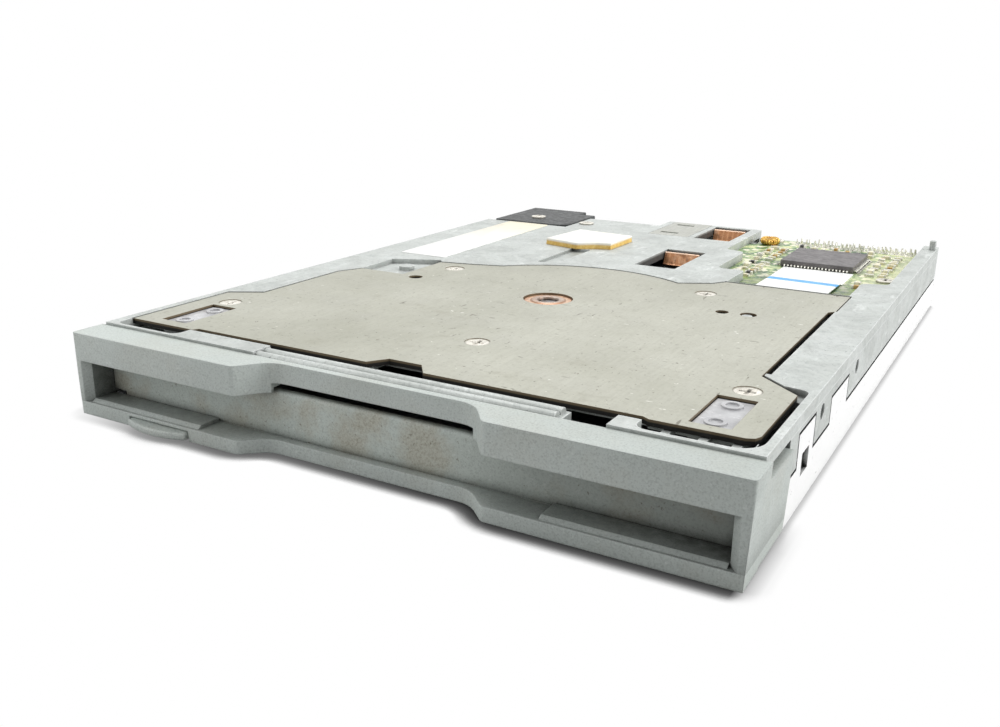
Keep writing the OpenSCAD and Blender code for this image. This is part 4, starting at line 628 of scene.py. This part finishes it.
def screw_head(x, y, seat, radius, height, dome, flip=1):
    """A round head on polar coordinates: its top falls off as a dome, and two crossed grooves are sunk into it,
    their depth fading from full at the centre line to none past half the groove's width. Below its rim it steps in
    to half its radius and ends 1 mm under its seat."""
    reach, half_width, fade, depth = 0.62 * radius, 0.30, 0.14, min(0.34, height + 0.1)
    top = np.linspace(0, 0.96, 16)
    rho = np.concatenate([top, [1.0, 1.0, 0.5, 0.5, 0.0]])[:, None]
    rim = len(top) + 1
    a = np.linspace(0, 2 * np.pi, 64, endpoint=False)[None]
    px, py = rho * np.cos(a) * radius, rho * np.sin(a) * radius
    near, far = np.minimum(np.abs(px), np.abs(py)), np.maximum(np.abs(px), np.abs(py))
    z = height - dome * rho ** 2 - np.clip((half_width - near) / fade, 0, 1) * (far < reach) * depth
    z[rim:rim + 2] = 0.0
    z[rim + 2:] = -1.0
    return np.stack([x + px, y + py, seat + flip * z], -1), (False, True)


# Camera and light

VIEW_DEG = (29.83, 17.63, 0.53)
VIEW_TARGET, VIEW_DISTANCE = np.array([9.88, 18.92, 12.0]), 126.14
FOCAL_PX, PHOTO_PX, SENSOR_MM = 984.58, 1000, 36


def stood(name, data, right, up, back, spot):
    """A camera or light at a spot, with its own X, Y and Z along the given directions."""
    thing = bpy.data.objects.new(name, data)
    bpy.context.scene.collection.objects.link(thing)
    turn = np.eye(4)
    turn[:3] = np.stack([right, up, back, spot], -1)
    thing.matrix_world = Matrix(turn.tolist())
    return thing


def photo_camera():
    """The photo's camera, from its azimuth, elevation and roll round a target."""
    az, el, roll = np.radians(VIEW_DEG)
    back = np.array([np.sin(az) * np.cos(el), -np.cos(az) * np.cos(el), np.sin(el)])
    right = np.cross(-back, [0, 0, 1])
    right /= np.linalg.norm(right)
    up = np.cross(right, -back)
    right, up = np.cos(roll) * right + np.sin(roll) * up, -np.sin(roll) * right + np.cos(roll) * up
    lens = bpy.data.cameras.new("photo_camera")
    lens.sensor_fit = "HORIZONTAL"
    lens.sensor_width = SENSOR_MM
    lens.lens = FOCAL_PX * SENSOR_MM / PHOTO_PX
    lens.clip_start = 0.005
    spot = row_frame(VIEW_TARGET + back * VIEW_DISTANCE)
    bpy.context.scene.camera = stood("photo_camera", lens, right, up, back, spot)


def lamp(name, place, target, size, watts):
    """A square soft light that faces its target, in metres of the part's frame."""
    light = bpy.data.lights.new(name, "AREA")
    light.size = size
    light.energy = watts
    back = np.subtract(place, target)
    back = back / np.linalg.norm(back)
    side = np.cross([0, 1, 0] if abs(back[2]) > 0.9 else [0, 0, 1], back)
    side /= np.linalg.norm(side)
    stood(name, light, side, np.cross(back, side), back, place)


def lit_and_seen(tree, lit, seen, output):
    """Shows one shader to rays from the camera, also by way of a reflection or glass, and lights the part with the
    other."""
    path = tree.nodes.new("ShaderNodeLightPath")
    direct = path.outputs["Is Camera Ray"]
    for name in ("Is Glossy Ray", "Is Transmission Ray"):
        node = tree.nodes.new("ShaderNodeMath")
        node.operation = "MAXIMUM"
        tree.links.new(direct, node.inputs[0])
        tree.links.new(path.outputs[name], node.inputs[1])
        direct = node.outputs[0]
    both = tree.nodes.new("ShaderNodeMixShader")
    for out, socket in zip((direct, lit.outputs[0], seen.outputs[0]), both.inputs):
        tree.links.new(out, socket)
    tree.links.new(both.outputs[0], tree.nodes[output].inputs["Surface"])


def white_room():
    """A sky that is plain white when seen and gives a little cool light."""
    world = bpy.data.worlds.new("white_room")
    bpy.context.scene.world = world
    world.use_nodes = True
    tree = world.node_tree
    lit = tree.nodes["Background"]
    lit.inputs["Color"].default_value = (0.97, 0.985, 1.0, 1)
    lit.inputs["Strength"].default_value = 0.34
    white = tree.nodes.new("ShaderNodeBackground")
    white.inputs["Color"].default_value = WHITE
    lit_and_seen(tree, lit, white, "World Output")


def floor_white():
    """White paper; seen directly it is plain white with a painted shadow, darker only where the object stands close
    above it, less so at its lit ends, and with no more than a thin line along its right side."""
    f = Finish("floor_white_paper")
    f.shader.inputs["Base Color"].default_value = (0.42, 0.42, 0.42, 1)
    f.shader.inputs["Roughness"].default_value = 0.9
    near = f.free_space(3.2, samples=32)
    # Painted shadow: seen directly the floor glows white, darker by an occlusion mask and placed ramps.
    shade = f.ramp(near, [(0.50, 0.03), (0.95, 1.0), (0.61, 0.06), (0.72, 0.09), (0.80, 0.16), (0.88, 0.45)])
    lit_ends = f.ramp(f.share(0, -50.0, 100.0), [(0.02, 0.85), (1.0, 0.9), (0.14, 0.3), (0.26, 0.12), (0.60, 0.0),
                                                 (0.973, 0.0), (0.985, 0.55)])
    behind = f.ramp(f.share(1, FACE_MM + 10.0, 8.0), [(0.0, 0.0), (1.0, 1.0)])
    beside = f.product(behind, f.sums("GREATER_THAN", f.along(0), 47.2))
    foot_line = f.ramp(near, [(0.54, 0.55), (0.66, 1.0)])
    glow = f.tree.nodes.new("ShaderNodeEmission")
    f.join(f.mix(beside, f.mix(lit_ends, shade, WHITE), foot_line), glow.inputs["Color"])
    lit_and_seen(f.tree, f.shader, glow, "Material Output")
    return f.material


def pale_floor(half=6, n=9):
    """A level square grid through the lowest point of the part."""
    u, v = np.meshgrid(np.linspace(-half, half, n), np.linspace(-half, half, n), indexing="ij")
    mesh = bpy.data.meshes.new("pale_floor")
    mesh.from_pydata(np.stack([u, v, np.zeros_like(u)], -1).reshape(-1, 3).tolist(), [], quads(n, n).tolist())
    mesh.materials.append(floor_white())
    floor = bpy.data.objects.new("pale_floor", mesh)
    bpy.context.scene.collection.objects.link(floor)


def studio():
    """White floor and sky, soft light from above, from the right and a little from the left front."""
    bpy.context.scene.view_settings.view_transform = "Standard"
    photo_camera()
    white_room()
    lamp("overhead_softbox", (-0.10, 0.22, 0.62), (0, 0, 0), 0.55, 2.9)
    lamp("right_softbox", (0.62, 0.15, 0.26), (0.04, 0, 0.01), 0.40, 3.05)
    lamp("left_front_softbox", (-0.20, -0.19, 0.12), (-0.05, -0.06, 0.01), 0.18, 0.20)
    pale_floor()


# Pieces

def plain_nodes():
    """Every CAD node first takes the finish of its slot; those that show get rounded edges."""
    for name, thing in frame["nodes"].items():
        thing.data.materials.clear()
        thing.data.materials.append(FINISH[SLOT_OF[name]])
    for node in ("main_frame", "frame_walls", "frame_hangers", "case_cover", "motor_plate", "front_bezel"):
        merged_copy(node)
    merged_copy("rod_plate", OLIVE_PATCH)
    merged_copy("slot_door", DOOR_PLASTIC)
    for node, width in (("rear_bracket", 0.25), ("media_switch_left", 0.06), ("media_switch_right", 0.06),
                        ("ribbon_socket", 0.06), ("interface_connector", 0.1), ("control_board", 0.03),
                        ("control_chip", 0.12), ("stepper_can", 0.15), ("head_carriage", 0.12)):
        softened(node, width)


def button():
    """Eject button, a flat pill: its outline's front bows out as a parabola, its rings round off above and below."""
    half, front_y, bow, centre_x = 5.4, -0.5, 1.1, -32.8
    low, high, edge = 0.15, 0.93, 0.32
    x = np.linspace(-half, half, 25)
    front = np.stack([x, front_y - bow * (1 - (x / half) ** 2)], -1)
    sides = np.array([[half, 1.5], [half, 3.5], [half, 5.0], [0, 5.0], [-half, 5.0], [-half, 3.5], [-half, 1.5]])
    outline = np.concatenate([front, sides]) + [centre_x, 0]
    turn = np.radians(np.linspace(0, 90, 5))
    lower = [(edge * (1 - np.sin(a)), low + edge * (1 - np.cos(a))) for a in turn]
    upper = [(edge * (1 - np.cos(a)), high + edge * np.sin(a)) for a in turn]
    piece("eject_button_pill", [stacked(outline, lower + upper)], "eject_button", smooth=50)


def screws():
    """Flat heads flush in the motor plate, low domed heads on the deck, and the cover's two from below."""
    radius, cover_radius, sunk = 1.65, 1.5, 0.58
    spots = [(-41.5, 23.5), (2.8, 25.0), (40.5, 24.2), (20.2, 69.0), (-25.3, 63.4)]
    piece("plate_screw_heads", [screw_head(x, y, PLATE_TOP - sunk, radius, 0.5, 0.03) for x, y in spots],
          "motor_plate_screws")
    caps = [(15.5, 130.7, DECK), (43.2, 101.0, DECK), (-38.2, 120.5, 12.7), (-25.5, 120.0, TOP)]
    piece("deck_screw_heads", [screw_head(x, y, z, radius, 0.45, 0.12) for x, y, z in caps], "deck_screws")
    piece("cover_screw_heads", [screw_head(s * 44.0, 118.0, 0.42, cover_radius, 0.4, 0.03, flip=-1) for s in (-1, 1)],
          "cover_screws")


def bearing():
    """Bronze bearing, a profile turned round the spindle: sunk flange, raised inner ring, bore."""
    z = PLATE_TOP
    profile = [(1.55, z - 2.4), (6.4, z - 2.4), (6.4, z - 0.82), (4.0, z - 0.8), (3.98, z - 0.36), (3.9, z - 0.3),
               (2.9, z - 0.3), (2.7, z - 0.16), (2.55, z - 0.1), (2.0, z - 0.1), (1.75, z - 0.18), (1.55, z - 0.5),
               (1.55, z - 2.4)]
    piece("spindle_bearing_turned", [turned(profile, (SPINDLE[0], SPINDLE[1], 0), 64)], "spindle_bearing")


def springs():
    """Wound wire in place of the plain sleeves."""
    piece("eject_spring_coils", [helix((s * 34.0, 113.2, 2.9), "y", 9.1, 1.12, 11, 0.17) for s in (-1, 1)],
          "eject_springs")
    piece("latch_spring_coil", [helix((-40.0, 97.5, 5.98), "z", 0.64, 1.25, 3, 0.11)], "latch_spring")
    piece("arm_spring_coil", [helix((-1.25, 123.0, 3.0), "x", 2.5, 0.72, 8, 0.13)], "arm_spring")
    piece("door_spring_coil", [helix((-46.0, 4.75, 1.9), "x", 1.75, 0.52, 7, 0.07)], "door_spring")


def lead_thread():
    """Lead screw: its radius rises and falls once per pitch along a helix, plain at both ends."""
    centre_x, centre_z, pitch, around = -18.5, 6.4, 1.25, 28
    start, end, tip, far = 100.6, 116.9, 99.45, 126.0
    y = np.concatenate([[tip, tip], np.linspace(start, end, 164), [end + 0.05, far, far]])[:, None]
    a = np.linspace(0, 2 * np.pi, around, endpoint=False)[None]
    r = 1.06 + 0.13 * np.cos(a - 2 * np.pi * y / pitch)
    r = np.where(y < start, 0.6, np.where(y > end + 0.02, 0.8, r))
    r[0] = r[-1] = 0
    grid = np.stack([centre_x + r * np.cos(a), np.repeat(y, around, 1), centre_z + r * np.sin(a)], -1)
    piece("lead_screw_thread", [(grid, (False, True))], "lead_screw")


def ring_coil():
    """Torus whose tube swells with each turn of the wire round it."""
    centre_x, centre_y, ring, tube, swell, turns = 15.2, 126.4, 1.3, 0.70, 0.09, 22
    u = np.linspace(0, 2 * np.pi, 6 * turns, endpoint=False)[:, None]
    v = np.linspace(0, 2 * np.pi, 16, endpoint=False)[None]
    r = tube + swell * np.cos(turns * u + v)
    out = ring + r * np.cos(v)
    grid = np.stack([centre_x + out * np.cos(u), centre_y + out * np.sin(u), DECK + 0.8 + r * np.sin(v)], -1)
    piece("filter_coil_wound", [(grid, (True, True))], "filter_coil")


def chip_legs():
    """Gull-wing legs: one bent flat strip swept along its bend and set out at an even pitch on four sides."""
    pitch, half_wide, half_thick = 0.65, 0.15, 0.07
    bend = np.array([[0, 0.1, 0.475], [0, -0.3, 0.475], [0, -0.47, 0.42], [0, -0.55, 0.25], [0, -0.62, 0.10],
                     [0, -0.72, 0.075], [0, -1.08, 0.075]])
    flat = [(-half_wide, -half_thick), (half_wide, -half_thick), (half_wide, half_thick), (-half_wide, half_thick)]
    leg = swept(bend, flat)[0]
    wide, deep = CHIP_HALF
    rows = []
    for turn, out, side in ((0, deep, wide), (180, deep, wide), (90, wide, deep), (-90, wide, deep)):
        n = int((2 * side - 0.8) / pitch)
        shift = np.zeros((n, 1, 1, 3))
        shift[:, 0, 0, 0] = (np.arange(n) - (n - 1) / 2) * pitch
        shift[..., 1] = -out
        c, s = np.cos(np.radians(turn)), np.sin(np.radians(turn))
        rows.append((leg[None] + shift) @ np.array([[c, s, 0], [-s, c, 0], [0, 0, 1]]) + [*CHIP, DECK])
    piece("chip_legs_bent", [(row, (False, True)) for row in rows], "chip_pins")


def solder_tails():
    """Clipped pin tails in two rows, each a blob of solder that runs up into a point, not all as tall or upright."""
    per_row, rows, first_x, first_y, row_length, row_gap = 26, 2, 20.5, 128.8, 24, 2
    profile = [(0, 0), (0.5, 0.0), (0.42, 0.16), (0.27, 0.36), (0.2, 0.6), (0.19, 1.15), (0.12, 1.28), (0, 1.3)]
    tail = turned(profile, (0, 0, 0), 10)[0]
    i, j = np.meshgrid(np.arange(per_row), np.arange(rows), indexing="ij")
    x, y = first_x + row_length * (i + j / 2) / per_row, first_y + row_gap * j
    spots = np.stack([x, y, np.full(i.shape, DECK)], -1).reshape(-1, 1, 1, 3)
    n = len(spots)
    draw = np.random.default_rng(5)
    scale = np.concatenate([np.ones((n, 2)), draw.uniform(0.75, 1.0, (n, 1))], 1)
    tall = tail[None] * scale[:, None, None]
    lean = tall + spots
    lean[..., :2] += draw.uniform(-0.28, 0.28, (n, 1, 1, 2)) * tall[..., 2:]
    piece("solder_tails", [(lean, (False, True))], "connector_pins")


def part_spots():
    """Corner and kind of each small part on the board, in the rows that the solids have."""
    pitch_x, pitch_y, board_right = 2.3, 2.1, 44.4
    left, right = CHIP[0] - CHIP_HALF[0] - 1.2, CHIP[0] + CHIP_HALF[0] + 2.2
    fields = [(16.8, left, 108.5, 123.5), (17.0, left, 92.0, 107.0), (right, board_right, 92.5, 98.0),
              (right, board_right, 104.0, 126.0), (left, right, 122.0, 126.5)]
    rows = []
    for x0, x1, y0, y1 in fields:
        i, j = np.meshgrid(np.arange(int((x1 - x0) / pitch_x)), np.arange(int((y1 - y0) / pitch_y)), indexing="ij")
        rows.append(np.stack([x0 + pitch_x * i, y0 + pitch_y * j, (3 * i + 2 * j + i * j) % 3], -1).reshape(-1, 3))
    return np.concatenate(rows)


def small_parts():
    """Chip parts with bright ends in the rows that the solids have: most are cream, gold or silver, a few dark, none
    dark at the right, and their sizes vary a little."""
    end_share, right_x = 0.38, 38
    spots = part_spots()
    draw = np.random.default_rng(11)
    sizes = np.array([[1.6, 0.8, 0.6], [0.9, 1.5, 0.5], [1.3, 1.2, 0.9]])[spots[:, 2].astype(int)]
    sizes *= draw.uniform([0.85, 0.85, 0.7], [1.1, 1.1, 1.1], sizes.shape)
    kinds = draw.choice(["cream", "gold", "silver", "dark"], len(spots), p=[0.48, 0.2, 0.2, 0.12])
    kinds = np.where((spots[:, 0] > right_x) & (kinds == "dark"), "cream", kinds)
    low = np.concatenate([spots[:, :2] + sizes[:, :2] / 2, np.full((len(spots), 1), DECK)], 1)
    along = np.where((sizes[:, 0] >= sizes[:, 1])[:, None], [[1.0, 0, 0]], [[0, 1.0, 0]])
    body = sizes * (1 - end_share * along)
    cap = sizes * (1 - 2 * end_share * along) * [1.0, 1.0, 0.96]
    unit = unit_block()[None]
    looks = {"cream": (PART_CREAM, "head_ceramic"), "gold": (PART_TAN, "coil_gold"),
             "silver": (FINISH["solder"], "solder"), "dark": (PART_DARK, "chip_resin")}
    for kind, (finish, slot) in looks.items():
        pick = kinds == kind
        grid = unit * body[pick][:, None, None] + low[pick][:, None, None]
        piece("board_part_" + kind, [(grid, (False, True))], "board_parts", finish, slot)
    ends = [unit * cap[:, None, None] + (low + s * end_share * sizes * along)[:, None, None] for s in (-1, 1)]
    piece("board_part_ends", [(grid, (False, True)) for grid in ends], "board_parts", FINISH["solder"], "solder")


def strip(x0, x1, y, z, across=9):
    """A flat film from x0 to x1 that follows heights z along y, closed round its thickness."""
    x = np.linspace(x0, x1, across)
    loop_x = np.concatenate([x, x[::-1]])
    loop_z = np.concatenate([np.zeros(across), np.full(across, FILM)])
    y, z = np.asarray(y)[:, None], np.asarray(z)[:, None]
    grid = np.stack(np.broadcast_arrays(loop_x[None], y, z + loop_z[None]), -1)
    ends = [np.repeat(grid[k].mean(0)[None], 2 * across, 0)[None] for k in (0, -1)]
    return np.concatenate([ends[0], grid, ends[1]]), (False, True)


def films():
    """Motor ribbon that comes down on its socket, the heads' flexible circuit with a raised cosine ridge at the
    rear end of each window, and the blank label."""
    y = np.linspace(75.0, 94.8, 60)
    fall = np.interp(y, [75.0, 80.0, 93.6, 94.8], [11.35, 11.35, 11.05, 11.05])
    sag = 0.05 * np.clip((y - 80) / 6.8, 0, 2) * np.clip((93.6 - y) / 6.8, 0, 2)
    piece("motor_ribbon_laid", [strip(24.4, 36.8, y, fall + sag)], "motor_ribbon")
    low, lift, half = 9.7, 2.3, 1.35
    left, right = WINDOW_X[0] + 0.2, 8.4
    d = np.linspace(-half, half, 28)
    ridge = low + lift * (0.5 + 0.5 * np.cos(np.pi * d / half))
    sheets = [strip(left, right, at + d, ridge) for at in (100.1, 130.9)]
    sheets.append(strip(6.6, right, np.linspace(101.4, 129.6, 12), np.full(12, low)))
    sheets.append(strip(7.9, 14.3, np.linspace(100.55, 104.55, 6), np.full(6, 10.6)))
    piece("head_flex_folded", sheets, "head_flex")
    outline = corner_ring((5.0, 21.7), 0.5, 5) + [-37.0, 91.7]
    levels = [(0, TOP), (0, TOP + 0.1), (0.04, TOP + 0.12)]
    piece("label_sheet", [stacked(outline, levels)], "blank_label", LABEL_FILM)


def pad():
    """Foam pad: its outline's rings draw in a little at the middle of the sides and crown at the top."""
    corners = np.array([[-7, -5.6], [0.7, -7.4], [4, -5], [6.8, -4.2], [7, 6.2], [-5.6, 7.4]]) + [-15, 98.8]
    nxt = np.roll(corners, -1, 0)
    t = np.linspace(0, 1, 12, endpoint=False)[None, :, None]
    outline = (corners[:, None] * (1 - t) + nxt[:, None] * t).reshape(-1, 2)
    levels = [(0.02, TOP), (0.0, TOP + 0.1), (0.07, TOP + 0.5), (0.06, TOP + 0.9), (0.0, TOP + 1.15),
              (0.06, TOP + 1.24), (0.16, TOP + 1.28)]
    rings = stacked(outline, levels)[0][:-1]
    mid, share = rings[-1].mean(0), np.linspace(0.9, 0.0, 8)[:, None, None]
    crown = mid + (rings[-1] - mid) * share
    crown[..., 2] = TOP + 1.3 - 0.02 * share[..., 0] ** 2
    foam = piece("spacer_pad_foam", [(np.concatenate([rings, crown]), (False, True))], "spacer_pad", smooth=50)


studio()
plain_nodes()
button()
screws()
bearing()
springs()
lead_thread()
ring_coil()
chip_legs()
solder_tails()
small_parts()
films()
pad()
